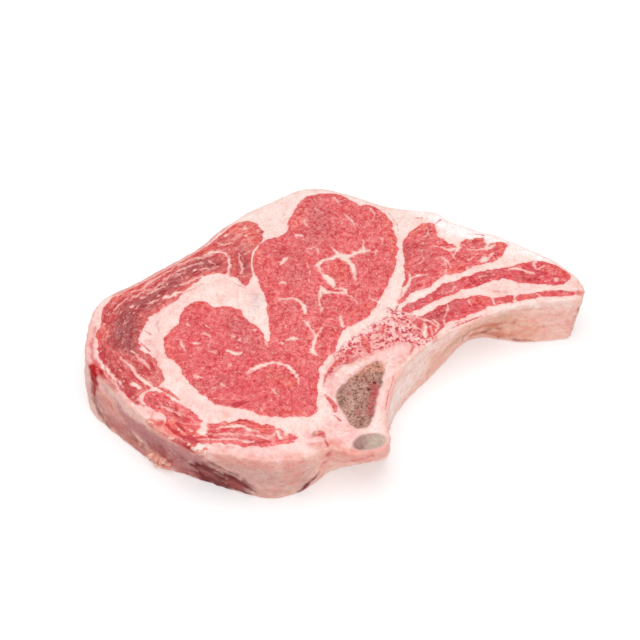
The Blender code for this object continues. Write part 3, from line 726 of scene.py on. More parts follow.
def spread_on(obj, name, values):
    """Stores a number, a place or a colour for each point of a piece, for its material to read."""
    values = np.asarray(values, np.float32)
    kind, key = "FLOAT", "value"
    if values.ndim == 2:
        kind, key = ("FLOAT_COLOR", "color") if name == "tint" else ("FLOAT_VECTOR", "vector")
    if name == "tint":
        values = np.column_stack((values, np.ones(len(values), np.float32)))
    obj.data.attributes.new(name, kind, "POINT").data.foreach_set(key, values.ravel())


def node_adder(tree, family=""):
    """A short way to add nodes: a kind, its inputs by name or number, and settings.

    An input is given a value, or is linked when it is given a socket.
    """

    def add(kind, values, **settings):
        node = tree.nodes.new(family + kind)
        for key, value in settings.items():
            setattr(node, key, value)
        for key, value in values.items():
            if isinstance(value, bpy.types.NodeSocket):
                tree.links.new(value, node.inputs[key])
            elif isinstance(value, tuple) and len(value) == 3 and node.inputs[key].type == "RGBA":
                node.inputs[key].default_value = (*value, 1.0)
            else:
                node.inputs[key].default_value = value
        return node.outputs

    return add


def new_tree(name, sockets):
    """A node tree that changes a mesh, a short way to add its nodes, and the values that it is given."""
    tree = bpy.data.node_groups.new(name, "GeometryNodeTree")
    tree.is_modifier = True
    tree.interface.new_socket("Geometry", in_out="OUTPUT", socket_type="NodeSocketGeometry")
    for socket, kind in {"Geometry": "Geometry", **sockets, "Finish": "Material"}.items():
        tree.interface.new_socket(socket, in_out="INPUT", socket_type="NodeSocket" + kind)
    return tree, node_adder(tree), tree.nodes.new("NodeGroupInput").outputs


def lumpy(add, size, height, seed=None):
    """Random pushes of up to half a height in or out, in lumps of a size."""
    scale = add("ShaderNodeMath", {0: 1.0, 1: size}, operation="DIVIDE")[0]
    values, dimensions = {"Scale": scale, "Detail": 1.0}, "3D"
    if seed is not None:
        values["W"], dimensions = seed, "4D"
    cloud = add("ShaderNodeTexNoise", values, noise_dimensions=dimensions)[0]
    level = add("ShaderNodeMath", {0: cloud, 1: 0.5}, operation="SUBTRACT")[0]
    return add("ShaderNodeMath", {0: level, 1: height}, operation="MULTIPLY")[0]


def push_out(add, shape, push, finish):
    """Ends a node tree: pushes a shape's surface outward, makes it real and gives it its material."""
    normal = add("GeometryNodeInputNormal", {})[0]
    offset = add("ShaderNodeVectorMath", {0: normal, "Scale": push}, operation="SCALE")[0]
    moved = add("GeometryNodeSetPosition", {"Geometry": shape, "Offset": offset})[0]
    whole = add("GeometryNodeRealizeInstances", {"Geometry": moved})[0]
    coated = add("GeometryNodeSetMaterial", {"Geometry": whole, "Material": finish})[0]
    add("NodeGroupOutput", {0: coated})


def grain_tree():
    """A node tree that lifts and sinks a surface at random, as far as its own relief value lets it."""
    tree, add, asked = new_tree("grain", {**dict.fromkeys(GRAIN_INPUTS, "Float"), "Seed": "Float"})
    grain_size, grain_height, lump_size, lump_height = (asked[name] for name in GRAIN_INPUTS)
    fine = lumpy(add, grain_size, grain_height, asked["Seed"])
    coarse = lumpy(add, lump_size, lump_height, asked["Seed"])
    push = add("ShaderNodeMath", {0: fine, 1: coarse}, operation="ADD")[0]
    allowed = add("GeometryNodeInputNamedAttribute", {"Name": "relief"}, data_type="FLOAT")[0]
    push = add("ShaderNodeMath", {0: push, 1: allowed}, operation="MULTIPLY")[0]
    push_out(add, asked["Geometry"], push, asked["Finish"])
    return tree


grain = grain_tree()


def run_tree(obj, tree, values):
    """Gives a node tree its inputs, turns what it makes into a plain mesh and takes the modifier off."""
    modifier = obj.modifiers.new(tree.name, "NODES")
    modifier.node_group = tree
    for item in tree.interface.items_tree:
        if item.item_type == "SOCKET" and item.in_out == "INPUT" and item.name in values:
            modifier[item.identifier] = values[item.name]
    bpy.context.view_layer.update()
    graph = bpy.context.evaluated_depsgraph_get()
    mesh = bpy.data.meshes.new_from_object(obj.evaluated_get(graph))
    obj.modifiers.clear()
    obj.data = mesh


def finish_piece(obj, node, slot, material, seed, *sizes):
    """Raises a piece's grain and lumps, makes it a plain mesh with sharp cut edges, and hands it over."""
    values = {name: size * MM for name, size in zip(GRAIN_INPUTS, sizes)}
    run_tree(obj, grain, {**values, "Seed": seed, "Finish": material})
    obj.data.shade_smooth()
    obj.data.set_sharp_from_angle(angle=SHARP_FROM)
    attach(obj, "root")
    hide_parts(node)


def material_tools(material):
    """Short ways to add nodes to a material: mixes, tints, steps, sums, stored values, noise and threads."""
    add = node_adder(material.node_tree, "ShaderNode")

    def mix(share, base, over, way="MIX"):
        return add("Mix", {0: share, 6: base, 7: over}, data_type="RGBA", blend_type=way)[2]

    def step(value, low, high, top=1.0):
        return add(
            "MapRange",
            {"Value": value, "From Min": low, "From Max": high, "To Max": top},
            interpolation_type="SMOOTHSTEP",
        )[0]

    def tinted(colour, *tints):
        for value, low, high, most, tint in tints:
            colour = mix(step(value, low, high, most), colour, tint, "MULTIPLY")
        return colour

    def calc(operation, one, other=0.0):
        return add("Math", {0: one, 1: other}, operation=operation)[0]

    def plus(one, other, share, middle=0.0):
        other = calc("SUBTRACT", other, middle) if middle else other
        return calc("ADD", one, calc("MULTIPLY", other, share))

    def stored(name, output="Fac"):
        return add("Attribute", {}, attribute_name=name)[output]

    def cloud(size, seed, detail=2.0, place=None, stretch=None, wavy=0.0, roughness=0.5):
        if place is None:
            place = add("TexCoord", {})["Object"]
        if stretch is not None:
            place = add("Mapping", {"Vector": place, "Scale": stretch})[0]
        values = {"Vector": place, "W": seed, "Scale": 1 / (size * MM), "Detail": detail}
        values.update({"Roughness": roughness, "Distortion": wavy})
        return add("TexNoise", values, noise_dimensions="4D")[0]

    def threads(value, width):
        return step(calc("ABSOLUTE", calc("SUBTRACT", value, 0.5)), width, 0.2 * width)

    return mix, tinted, step, calc, plus, stored, cloud, threads


def new_material(name, roughness, coat):
    """A material with this roughness and this much of a moist coat, and its shader."""
    material = bpy.data.materials.new(name)
    material.use_nodes = True
    shader = material.node_tree.nodes["Principled BSDF"]
    shader.inputs["Roughness"].default_value = roughness
    shader.inputs["Coat Weight"].default_value = coat
    shader.inputs["Coat Roughness"].default_value = 0.22
    shader.inputs["Specular IOR Level"].default_value = 0.35
    return material, shader


def colour_material(material, shader, colour, bumps, strength, depth):
    """Gives a material its colour, and bumps of a depth in millimetres that catch the light."""
    add = node_adder(material.node_tree, "ShaderNode")
    relief = add("Bump", {"Height": bumps, "Strength": strength, "Distance": depth * MM})[0]
    material.node_tree.links.new(colour, shader.inputs["Base Color"])
    material.node_tree.links.new(relief, shader.inputs["Normal"])


rooms = [(number, hidden_wall(number, 0.0)) for number in range(1, len(PIECES))]
fat, flat, on_face = cut_piece("fat", [(0, outer_wall()), *rooms])
place = np.array([v.co for v in fat.data.vertices]) / MM
edge = gap_to(flat + CENTRING, range(1, len(PIECES)))[0]
rim_gap = gap_to(flat + CENTRING, (0,))[0]
face_tint = laid_on(flat, CREAM, FACE_LAYERS)
wall_tint = laid_on(place, PEACH, WALL_LAYERS)
below_face = np.clip((THICKNESS + RIM_ABOVE - place[:, 2]) / RIM_DOWNWARD, RIM_SHARE, 1)
wallward = np.where(on_face, RIM_SHARE * np.clip(1 - rim_gap / RIM_INWARD, 0, 1), below_face)
spread_on(fat, "tint", face_tint + wallward[:, None] * (wall_tint - face_tint))
spread_on(fat, "side", wallward)
spread_on(fat, "edge", edge)
spread_on(fat, "relief", np.clip(edge / FAT_FADE, 0, 1) * np.where(on_face, 1.0, WALL_GRAIN))
spread_on(fat, "blood", np.where(on_face, strokes(flat, BLOOD_LINES), FAR_OUTSIDE))
spread_on(fat, "spongy", np.where(on_face, strokes(flat, SPONGY), FAR_OUTSIDE))

fat_finish, shader = new_material("fat", 0.45, 0.05)
mix, tinted, step, calc, plus, stored, cloud, threads = material_tools(fat_finish)
soft = cloud(8, 1.0, 3.0, wavy=0.6)
fine = cloud(1.4, 2.0, 3.0, wavy=0.5)
streaky = cloud(2.6, 3.0, 3.0, stretch=(1.0, 0.4, 1.0), wavy=1.2)
layered = cloud(4.5, 4.0, 4.0, stretch=(0.7, 0.7, 1.3), wavy=1.0)
colour = tinted(
    stored("tint", "Color"),
    (soft, 0.46, 0.66, 0.8, (0.985, 0.86, 0.84)),
    (soft, 0.44, 0.30, 0.8, (1.02, 1.09, 1.10)),
    (streaky, 0.50, 0.66, 0.8, (0.98, 0.86, 0.84)),
    (fine, 0.54, 0.70, 0.8, (0.98, 0.89, 0.87)),
)
colour = mix(threads(cloud(5, 7.0, 2.0, wavy=1.5), 0.03), colour, (0.96, 0.80, 0.79), "MULTIPLY")
dark_wall = calc("MULTIPLY", stored("side"), step(layered, 0.42, 0.64))
colour = mix(dark_wall, colour, (0.95, 0.84, 0.82), "MULTIPLY")
pale_wall = calc("MULTIPLY", stored("side"), step(layered, 0.46, 0.30))
colour = mix(pale_wall, colour, (1.03, 1.08, 1.07), "MULTIPLY")
near_lean = step(plus(stored("edge"), streaky, 3.0), 2.9, 1.2, 0.5)
colour = mix(near_lean, colour, ROSE)
cells = cloud(1.9, 5.0, 3.0, wavy=0.8)
sponge = step(stored("spongy"), -2.0, 2.0)
colour = mix(calc("MULTIPLY", sponge, 0.45), colour, SPONGE_PINK)
red_cells = calc("MULTIPLY", sponge, step(cells, 0.47, 0.55, 0.95))
colour = mix(red_cells, colour, mix(step(cells, 0.54, 0.63), SPONGE_RED, SPONGE_DARK))
bleeding = step(plus(stored("blood"), fine, 1.4), 0.15, 1.15, 0.92)
colour = mix(bleeding, colour, mix(step(cells, 0.42, 0.6), BLOOD_PALE, BLOOD_DARK))
fat_finish.node_tree.links.new(step(colour, 0.02, 0.22, 0.35), shader.inputs["Specular IOR Level"])
bumps = plus(calc("MULTIPLY", fine, 0.5), layered, 0.4)
colour_material(fat_finish, shader, colour, bumps, 0.55, 0.5)
finish_piece(fat, "fat", "fat", fat_finish, 1.0, *FAT_GRAIN)


# The crumbs of fat
# Scraps that the knife left: small crumbs along the front edge of the upper face, and a few knobs of fat low
# on the wall below them. They stick to the fat, half sunk in it.

CRUMB_LINES = (
    (
        (-95, -69.5, 32.6), (-91, -72.5, 32.6), (-86.5, -77, 32.3), (-82, -80.6, 32.2), (-76, -83.6, 32.0),
        (-70, -85.6, 32.0),
    ),
    ((-95, -73, 8), (-91, -75.5, 9), (-87, -78, 9), (-83, -80, 8)),
    ((-94, -74, 4), (-88, -78, 4), (-84, -80, 5)),
    ((-69.4, -87.6, 31.9), (-68, -88.4, 31.9), (-66.4, -88.8, 31.8)),
)
CRUMB_COUNTS = (22, 22, 12, 7)
CRUMB_SIZES = ((0.4, 1.3), (0.9, 2.0), (0.8, 1.7), (0.8, 1.3))

# How far they scatter, how high a crumb of a size may reach, and how they are turned and stretched
CRUMB_SPREAD = 0.35
CRUMB_TOP, CRUMB_RISE = 33.2, 1.3
CRUMB_TURN = 6.28
FLATTEST, FULLEST = (0.8, 0.8, 0.6), (1.4, 1.1, 0.9)
CRUMB_LUMPINESS, CRUMB_LUMPS = 0.9, 1.1

CRUMB_PINK, CRUMB_RED, CRUMB_PALE = (0.90, 0.56, 0.46), (0.83, 0.30, 0.23), (0.93, 0.72, 0.64)


def crumb_tree():
    """A node tree that sets a lumpy crumb on every point of a mesh, as large as the point's own size says."""
    tree, add, asked = new_tree("crumbs", {"Lumpiness": "Float", "Lump size": "Float", "Seed": "Int"})

    def chance(low, high):
        values = {"Min": low, "Max": high, "Seed": asked["Seed"]}
        return add("FunctionNodeRandomValue", values, data_type="FLOAT_VECTOR")[0]

    ball = add("GeometryNodeMeshIcoSphere", {"Radius": 1.0, "Subdivisions": 3})[0]
    size = add("GeometryNodeInputNamedAttribute", {"Name": "size"}, data_type="FLOAT")[0]
    turn = chance((0, 0, 0), (CRUMB_TURN, CRUMB_TURN, CRUMB_TURN))
    scale = add("ShaderNodeVectorMath", {0: chance(FLATTEST, FULLEST), "Scale": size}, operation="SCALE")[0]
    values = {"Points": asked["Geometry"], "Instance": ball, "Rotation": turn, "Scale": scale}
    placed = add("GeometryNodeInstanceOnPoints", values)[0]
    whole = add("GeometryNodeRealizeInstances", {"Geometry": placed})[0]
    push_out(add, whole, lumpy(add, asked["Lump size"], asked["Lumpiness"]), asked["Finish"])
    return tree


dropped = np.random.default_rng(11)
crumb_places, crumb_sizes = [], []
for line, count, (small, large) in zip(CRUMB_LINES, CRUMB_COUNTS, CRUMB_SIZES):
    line = np.array(line, float)
    at = np.sort(dropped.uniform(0, len(line) - 1, count))
    spots = np.stack([np.interp(at, np.arange(len(line)), line[:, axis]) for axis in range(3)], 1)
    spots += dropped.normal(0, CRUMB_SPREAD, spots.shape)
    sizes = small + (large - small) * dropped.random(count) ** 2
    spots[:, 2] = np.minimum(spots[:, 2], CRUMB_TOP - CRUMB_RISE * sizes)
    crumb_places.append(spots)
    crumb_sizes.append(sizes)
crumb_mesh = bpy.data.meshes.new("fat_crumbs")
crumb_mesh.from_pydata(np.vstack(crumb_places) * MM, [], [])
crumbs = new_object("fat_crumbs", crumb_mesh)
spread_on(crumbs, "size", np.concatenate(crumb_sizes) * MM)

crumb_finish, shader = new_material("crumbs of fat", 0.45, 0.08)
mix, tinted, step, calc, plus, stored, cloud, threads = material_tools(crumb_finish)
colour = mix(step(cloud(2.5, 1.0), 0.4, 0.6), CRUMB_PINK, CRUMB_RED)
colour = mix(step(cloud(0.8, 2.0), 0.5, 0.7, 0.4), colour, CRUMB_PALE)
colour_material(crumb_finish, shader, colour, cloud(0.5, 3.0), 0.5, 0.2)
lumps = {"Lumpiness": CRUMB_LUMPINESS * MM, "Lump size": CRUMB_LUMPS * MM}
run_tree(crumbs, crumb_tree(), {**lumps, "Seed": 3, "Finish": crumb_finish})
crumbs.data.shade_smooth()
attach(crumbs, "root")


# The muscles
# Six muscles run through the steak: the big eye, the cap bent round its end, the strip along the front and
# three in the tail. The knife cut straight across their grain, so each shows the ends of its fibre bundles.

WHITE_FAT = (0.93, 0.71, 0.63)
PINK_FAT = (0.88, 0.42, 0.38)
LEAN_RED = (0.78, 0.125, 0.13)
TAIL_RED = (0.73, 0.085, 0.10)
CAP_RED = (0.67, 0.115, 0.112)
DULL_RED = (0.64, 0.12, 0.128)
ORANGE_RED = (0.80, 0.125, 0.10)
DEEP_RED = (0.50, 0.045, 0.05)
BROWN_RED = (0.33, 0.058, 0.062)
PALE_RED = (0.88, 0.36, 0.32)
BLOOD_RED = (0.50, 0.015, 0.03)
PIECE_CLEARANCE = 0.12
GUIDE_ROUNDINGS = 3
VEIN_SEED = 30
VEIN_WAVES = ((1.3, 7, 0), (0.9, 2.2, 5))
LEAN_GRAIN = (1.3, 0.42, 5, 0.5)
LEAN_FADE, VEIN_FADE = 0.9, 0.6

# What the photo shows in each muscle, as strokes: its veins of fat, its places of another red, and blood
EYE_VEINS = (
    ((2.2, 1.8, 2, 3.2, 4.2, 3, 1.8, 2, 2.4, 2), (-11.5, 35), (-9, 37.5), (-5, 39.5), (-1, 41), (1, 42),
     (5, 41), (7, 42), (9, 44), (12, 45.5), (17, 46)), ((0.7, 1.6, 2.4), (-3.8, 49), (-2, 45.5), (0, 42.5)),
    ((2.2, 1.2, 0.5), (13.5, 46.5), (13.8, 50), (13.5, 54)),
    ((2.4, 1.6, 1.4, 2), (-11.5, 35), (-10.5, 32), (-9.3, 29), (-8.5, 27)),
    ((2, 4, 4.2, 2), (-8.5, 27.5), (-6.5, 25), (-4.5, 22.5), (-2.4, 19.3)),
    ((3.2, 2.6, 2.8, 2.2, 1.2, 0.5), (2, 40.5), (5.5, 38), (7.5, 34), (8.3, 30), (8.2, 27), (8.6, 23)),
    ((1.2, 2.2, 2.4, 1.7, 1.7, 2.2, 2, 1.6, 1), (-9, 19.5), (-8, 17.5), (-7, 15), (-4, 13.8), (0, 14.2),
     (3, 15), (3.5, 17), (1, 18.3), (-1, 17.4)),
    ((1.4, 2, 1.5, 1, 1.6), (-8.6, 18), (-9.3, 14), (-9.7, 10), (-10, 7), (-10, 2)),
    ((0.5, 0.9, 0.9, 0.5), (-17, 47), (-13, 48), (-11, 46), (-10.5, 43)),
    ((0.4, 1.2, 1.4, 0.3), (4, 74), (6, 71), (8, 67), (9.5, 63)),
    ((0.6, 1, 0.3), (-1.5, 87), (0, 84), (1, 81.5)), ((0.3, 1, 0.3), (-19, 69.5), (-17, 66), (-15, 63)),
    ((0.9, 0.4), (-12, 79), (-10, 77)), ((1, 0.9, 0.3), (18, 79), (20, 76), (19.5, 71)),
    ((0.7, 0.4), (23.5, 56), (24, 52)), ((0.7, 0.4), (21, 45), (20, 42)),
    ((2.4, 2, 0.8), (-30.5, 36), (-29.3, 38.5), (-28, 40.3)),
    ((1, 1.8, 0.8), (-31.5, 22), (-30, 22.3), (-28, 21)),
    ((0.6, 1.1, 1.1, 1.3, 1.8, 2.8, 3, 1.4), (-31, 9), (-30, 10.3), (-25, 10.6), (-22, 10), (-20, 7.5),
     (-18.5, 4.5), (-17.5, 1.5), (-17, -1.5)), ((1.8, 1.2), (-23, 57), (-20, 57.5)),
    ((1.2, 2), (1, -3), (2, -9)), (1.8, (-16, -7)),
    ((0.8, 1.6, 2.2, 2.6, 1.6), (-13.5, -12), (-12.5, -17), (-13, -22), (-13.5, -27), (-12, -29)),
    ((1.4, 2.2, 1), (-26, -19), (-23.5, -18.4), (-21, -19)), (2, (-29.5, -21)),
    ((1, 1.6, 1.4), (-18, -6.5), (-15.5, -8.5), (-13.6, -12.5)),
    ((1.3, 1.1, 0.5), (-12.6, -17), (-9.5, -12), (-8, -8)),
    ((0.9, 0.6, 0.3), (3.6, 13.8), (7.2, 9.5), (10.3, 5.7)),
    ((0.4, 0.8, 0.5), (14.6, 11.8), (17.7, 9), (20, 8)), ((1, 0.7), (-5, -3), (-2, -6)),
    ((1.2, 0.6), (-79, -8), (-77.5, -9)), ((1.3, 0.6), (-69, -9), (-66.5, -11)),
    ((1.5, 1), (-81, -20.5), (-79.5, -25)), ((1.3, 0.7), (-74, -21), (-72, -21.5)), (1.6, (-51, -18.5)),
    ((0.9, 0.5), (-67, -26.5), (-63, -27)), ((1.6, 0.3), (-37.5, -19), (-37.2, -24)),
    ((1, 2.2, 2.6, 2, 1.6, 1.8, 2.2, 1.8, 1.4, 0.4), (-46.5, -40.5), (-44, -38.5), (-41, -36.5),
     (-37, -34.8), (-32, -34.2), (-28, -35.5), (-25, -38), (-22.5, -40.5), (-21, -44), (-20.5, -48)),
    ((1.6, 2.5, 1.2), (-57.5, -26), (-54, -27.5), (-50, -27.5)), ((1.6, 1), (-73, -43), (-69, -44)),
    (1.4, (-44, -12)), (2, (-54, -16.5)), (1.5, (-55.5, -35.5)),
    ((0.2, 0.5, 0.2), (-16, 22), (-15.5, 30), (-17, 36)), ((0.9, 0.4), (-60, -48), (-56, -51)),
    ((0.8, 0.3), (-34, -52), (-30, -55)), ((0.9, 0.3), (-70, -14), (-66, -17)),
)
EYE_LAYERS = (
    (TAIL_RED, 12, 0.6, (36, (-72, -20), (-58, -40), (-30, -50))),
    (DULL_RED, 7, 0.75, (12, (-14, 82), (-8, 66), (-14, 54)), (6, (-32, 46), (-26, 36), (-22, 24)),
     (9, (-54, -6), (-46, -22)), (4, (-8, 8), (-26, 4)), (3, (-70, -52), (-58, -46))),
    (ORANGE_RED, 3, 0.6, (3, (-88, -14), (-89, -26), (-80, -36)), (4, (26, 72), (30, 58), (30, 44)),
     (6, (0, 36), (2, 26)), (2, (-24, 62), (-22, 76), (-14, 86)), (3, (-78, 4), (-70, 6)),
     (2, (-40, -66), (-18, -66)), (3, (-44, 46), (-42, 36)), (4, (8, 0), (16, 4)),
     (5, (-36, -42), (-24, -48))),
    (DEEP_RED, 1.6, 0.6, (1.2, (-8, -2), (-9, -12), (-9, -26)), (1, (-62, -58), (-52, -62)),
     (1.4, (-13, -66), (-11, -60))),
)
EYE_BLOOD = (((3.6, 3, 1), (-52, -61.5), (-49, -60.5), (-45, -59.5)),)
CAP_VEINS = (
    ((0.3, 0.9, 1, 1, 0.9, 0.9, 1.2), (-104, 18), (-98, 24), (-92, 30), (-86, 35), (-80, 38), (-74, 40),
     (-68, 42.5)),
    ((0.6, 0.7, 0.6, 0.7, 0.7, 0.6, 0.4), (-117, 13), (-110, 18), (-104, 23), (-96, 30), (-90, 34),
     (-84, 38.5), (-78, 44)), ((0.5, 0.9, 0.8, 0.3), (-100, 14), (-96, 20), (-90, 26), (-84, 29)),
    ((0.3, 0.7, 0.3), (-110, 9), (-104, 15), (-99, 19)),
    ((0.3, 0.6, 0.6, 0.3), (-94, 23), (-87, 30), (-80, 34), (-73, 36)),
    ((1.6, 2.8, 1.2), (-92, 11), (-87, 13.5), (-82, 15.5)), ((1.4, 0.8), (-77, 31), (-70, 31.5)),
    ((1, 2, 1.6, 0.8), (-73, 42), (-66, 45), (-62, 44), (-59.5, 41)),
    ((1, 1.8, 1.6), (-59, 42), (-58.5, 35), (-59.5, 28)),
    ((0.6, 1, 0.8), (-53.5, 43), (-52.5, 36), (-52, 29)), (1.6, (-51, 62.5)), (2, (-50.5, 56.5)),
    (2, (-61.5, 57.5)), (2, (-108.5, 4.5)), (1.2, (-122, -8)),
    ((0.6, 1.2, 0.8), (-104, 10), (-98, 16), (-92, 19)),
    ((0.8, 1.6, 1.9, 2.2, 2), (-112, -30), (-107, -36), (-102, -42), (-97, -47), (-93, -51)),
    ((0.8, 1.5, 1.7, 1.4), (-119, -36), (-115, -42), (-110, -48), (-107, -55)),
    ((2.4, 2), (-104, -48), (-100, -51)), ((0.6, 1.2, 0.6), (-106, -26), (-100, -33), (-95, -38)),
    ((0.6, 0.9), (-118, 2), (-113, 8)), ((0.9, 0.8, 0.3), (-84, 20), (-78, 24), (-72, 27)),
    ((0.9, 0.5), (-100, 6), (-95, 10)), ((0.8, 0.5), (-70, 37), (-66, 35)),
    ((0.8, 0.4), (-110, 14), (-104, 17)), ((0.6, 1.1, 0.5), (-67, 52), (-62, 50), (-57, 51)),
)
CAP_LAYERS = (
    (PALE_RED, 4, 0.35, (8, (-60, 60), (-53, 57), (-50, 48))),
    (ORANGE_RED, 4, 0.7, (8, (-60, 62), (-50, 64), (-46, 54)), (3, (-68, 50), (-78, 42), (-92, 32)),
     (3, (-122, -4), (-124, -20)), (4, (-118, 10), (-108, 18))),
    (BROWN_RED, 4.5, 0.85, ((5, 8, 6, 7, 10), (-66, 35), (-74, 36), (-84, 27), (-94, 15), (-103, 6)),
     ((9, 14, 13, 5), (-110, 2), (-110, -8), (-111, -18), (-106, -27)), (1.5, (-52, 46), (-50, 30))),
    (DEEP_RED, 1.8, 0.95,
     ((2, 4, 3.6, 5, 5.4, 4.5), (-121, -24), (-117, -35), (-111.5, -43), (-108, -47.5), (-105, -52),
      (-101, -60)), (2, (-104, -33), (-98, -42)), (2, (-120, 2), (-122, -6))),
)
CAP_BLOOD = (
    ((2.4, 1.8), (-121.5, -28), (-119, -34)), ((1, 1.8, 1.2), (-112, -46), (-108, -52), (-104, -57)),
    ((1.6, 0.8), (-96, -34), (-93, -40)),
)
FRONT_VEINS = (
    ((0.6, 1.4, 2.2, 1.8, 0.6), (-60, -76), (-56, -75.3), (-50, -74.6), (-44, -77), (-39, -79)),
    ((0.5, 0.8, 0.9, 0.5), (-66, -79.6), (-58, -79.4), (-50, -79.6), (-42, -81)),
    ((0.6, 0.9, 0.9, 0.6), (-68, -83), (-60, -82.6), (-50, -83), (-42, -84.5)),
    ((2.6, 2.2), (-30, -79), (-28.5, -82)), ((2.6, 2.8, 5.6), (-66.2, -71), (-66.6, -75), (-67, -78)),
    ((0.3, 0.7, 0.3), (-90, -62), (-84, -65), (-78, -69)), (1.2, (-79.6, -77)), (1.5, (-77.3, -78.6)),
    (1.3, (-73, -78)), ((0.4, 0.9, 0.4), (-62, -82), (-54, -82.5), (-46, -84)),
    ((1.4, 0.6), (-40, -81), (-35, -82)),
)
FRONT_BLOOD = (
    ((3.4, 4), (-73.5, -81.5), (-71, -84.5)), ((1, 2, 1.6), (-84.5, -75), (-80.5, -79), (-75.5, -82)),
    ((0.6, 1.2), (-92, -68), (-88, -71.5)), ((0.8, 1.6, 0.6), (-57, -71.8), (-48, -71), (-42, -74)),
    ((2, 1.6), (-80, -73), (-76, -78)),
)
FRONT_LAYERS = (
    (ORANGE_RED, 2, 0.95, ((4, 7, 6), (-85, -72), (-79, -78), (-75, -81)), ((3, 5), (-80, -74), (-73, -78)),
     (2.5, (-56, -73), (-44, -72.5), (-34, -78)), (3, (-88, -72))),
    (DEEP_RED, 1.2, 0.95, ((3, 4.6, 3), (-76, -82), (-72.5, -83.5), (-70.5, -85)), (1.6, (-73, -77.5))),
    (DEEP_RED, 2, 0.7, (2.5, (-94, -59), (-86, -63), (-78, -69)),
     (1.5, (-62, -81), (-48, -81.5), (-40, -85))),
    (PALE_RED, 1.6, 0.8, (1.2, (-58, -79), (-50, -80)), (3, (-36, -80), (-26, -80))),
)
UPPER_VEINS = (
    ((3.6, 2.6, 2.2, 0.8), (65.6, 54), (65.2, 49), (64, 46), (62, 41)),
    ((1.8, 1.6, 1.3, 0.6), (64, 47), (60, 46), (56, 48.5), (51, 50)),
    ((5, 3.2, 1.6), (82.5, 58), (82.5, 52), (80.5, 48)),
    ((1.6, 1.6, 1.1, 0.7), (85, 50), (81, 47), (76, 46.5), (70, 47)),
    ((0.5, 1.2, 0.8), (56, 41), (59, 38), (60, 33)), ((0.8, 1.2, 1.8), (84, 44), (81, 40), (78, 39)),
    ((3.4, 3), (77, 38), (79, 40)), ((0.8, 2, 2.2, 1), (38, 27), (37, 21), (34.5, 15), (31, 10)),
    ((0.8, 1.6, 1.4), (47, 28), (43, 27), (39, 24.5)), ((0.8, 1.1, 0.4), (57, 29), (58, 33), (57, 37)),
    ((0.8, 0.4), (50, 62), (48, 56)), ((0.8, 0.5), (46, 38), (43, 35)), ((0.9, 0.5), (70, 38), (73, 41)),
)
MIDDLE_VEINS = (
    ((0.5, 1.6, 1.8, 1.4, 0.5), (90, 31), (93, 32), (98, 32), (101, 30), (105, 28.5)),
    ((1.4, 2, 1.6), (106, 32), (105, 36), (107, 39)), ((1.2, 0.5), (107, 32), (110, 35)), (2, (115.5, 24)),
    ((0.8, 0.5), (58, 15), (62, 19)), ((0.7, 0.4), (74, 25), (79, 27)),
)
LOWER_VEINS = (
    ((1.6, 1.2, 1.6), (80, 14), (81, 9), (82, 6)), ((1.2, 1), (92.5, 12), (92.5, 7)),
    ((1.4, 2, 1.8), (44, -7), (44, -14), (44.5, -19)), ((0.8, 1.1, 0.5), (41, -3), (46, -5), (50, -9)),
    ((0.8, 1.2, 0.7), (49, -4), (52, -8), (50, -13)), ((1.2, 0.8), (39, -9), (42, -12)),
    ((1, 0.8), (47, -10), (48, -15)), ((0.9, 0.7), (57, 6), (56, -3)), ((0.9, 0.7), (55, -5), (55, -11)),
    ((0.8, 0.4), (68, 9), (70, 4)), ((0.8, 0.6), (104, 14), (106, 12)),
)
UPPER_LAYERS = (
    (ORANGE_RED, 2.5, 0.9, (5, (40, 61), (46, 66), (52, 68)), (4, (66, 55), (76, 55)),
     (5, (84, 50), (91, 52)), (3, (58, 31), (66, 34))),
    (DEEP_RED, 1.6, 0.85, ((1, 2, 1), (50, 68), (49, 60), (47, 50)), (2, (38, 54), (37, 40))),
    (DULL_RED, 6, 0.7, (8, (44, 48), (48, 40), (46, 33)), (2, (72, 52), (82, 48)), (3, (34, 12), (40, 22))),
)
MIDDLE_LAYERS = (
    (ORANGE_RED, 3, 0.7, (5, (112, 34), (122, 30), (123, 24)), (3, (92, 36), (101, 36))),
    (DULL_RED, 5, 0.7, (5, (38, 5), (50, 14), (60, 19)), (3, (80, 28), (88, 30))),
    (DEEP_RED, 2, 0.6, (1.6, (70, 22), (82, 27)), (1.6, (96, 25), (106, 22))),
)
LOWER_LAYERS = (
    (DEEP_RED, 3, 0.5, (4, (46, -5), (52, -1))),
    (DULL_RED, 5, 0.8, (7, (44, -6), (52, -2), (60, 6)), (3, (120, 15), (126, 15))),
    (ORANGE_RED, 2.5, 0.7, (4, (72, 8), (78, 10)), (2, (86, 9), (112, 13)), (3, (48, -14), (50, -11))),
    (DEEP_RED, 1.6, 0.8, (2, (42, -10), (42, -13)), (1.5, (66, 12), (58, 10))),
)


def wavy(places, seed):
    """The places shaken sideways at random, so that strokes drawn over them waver as grown seams do."""
    shaken = places.copy()
    for axis in (0, 1):
        waves = ((height, size, seed + axis + more) for height, size, more in VEIN_WAVES)
        shaken[:, axis] += uneven(places, *waves)
    return shaken


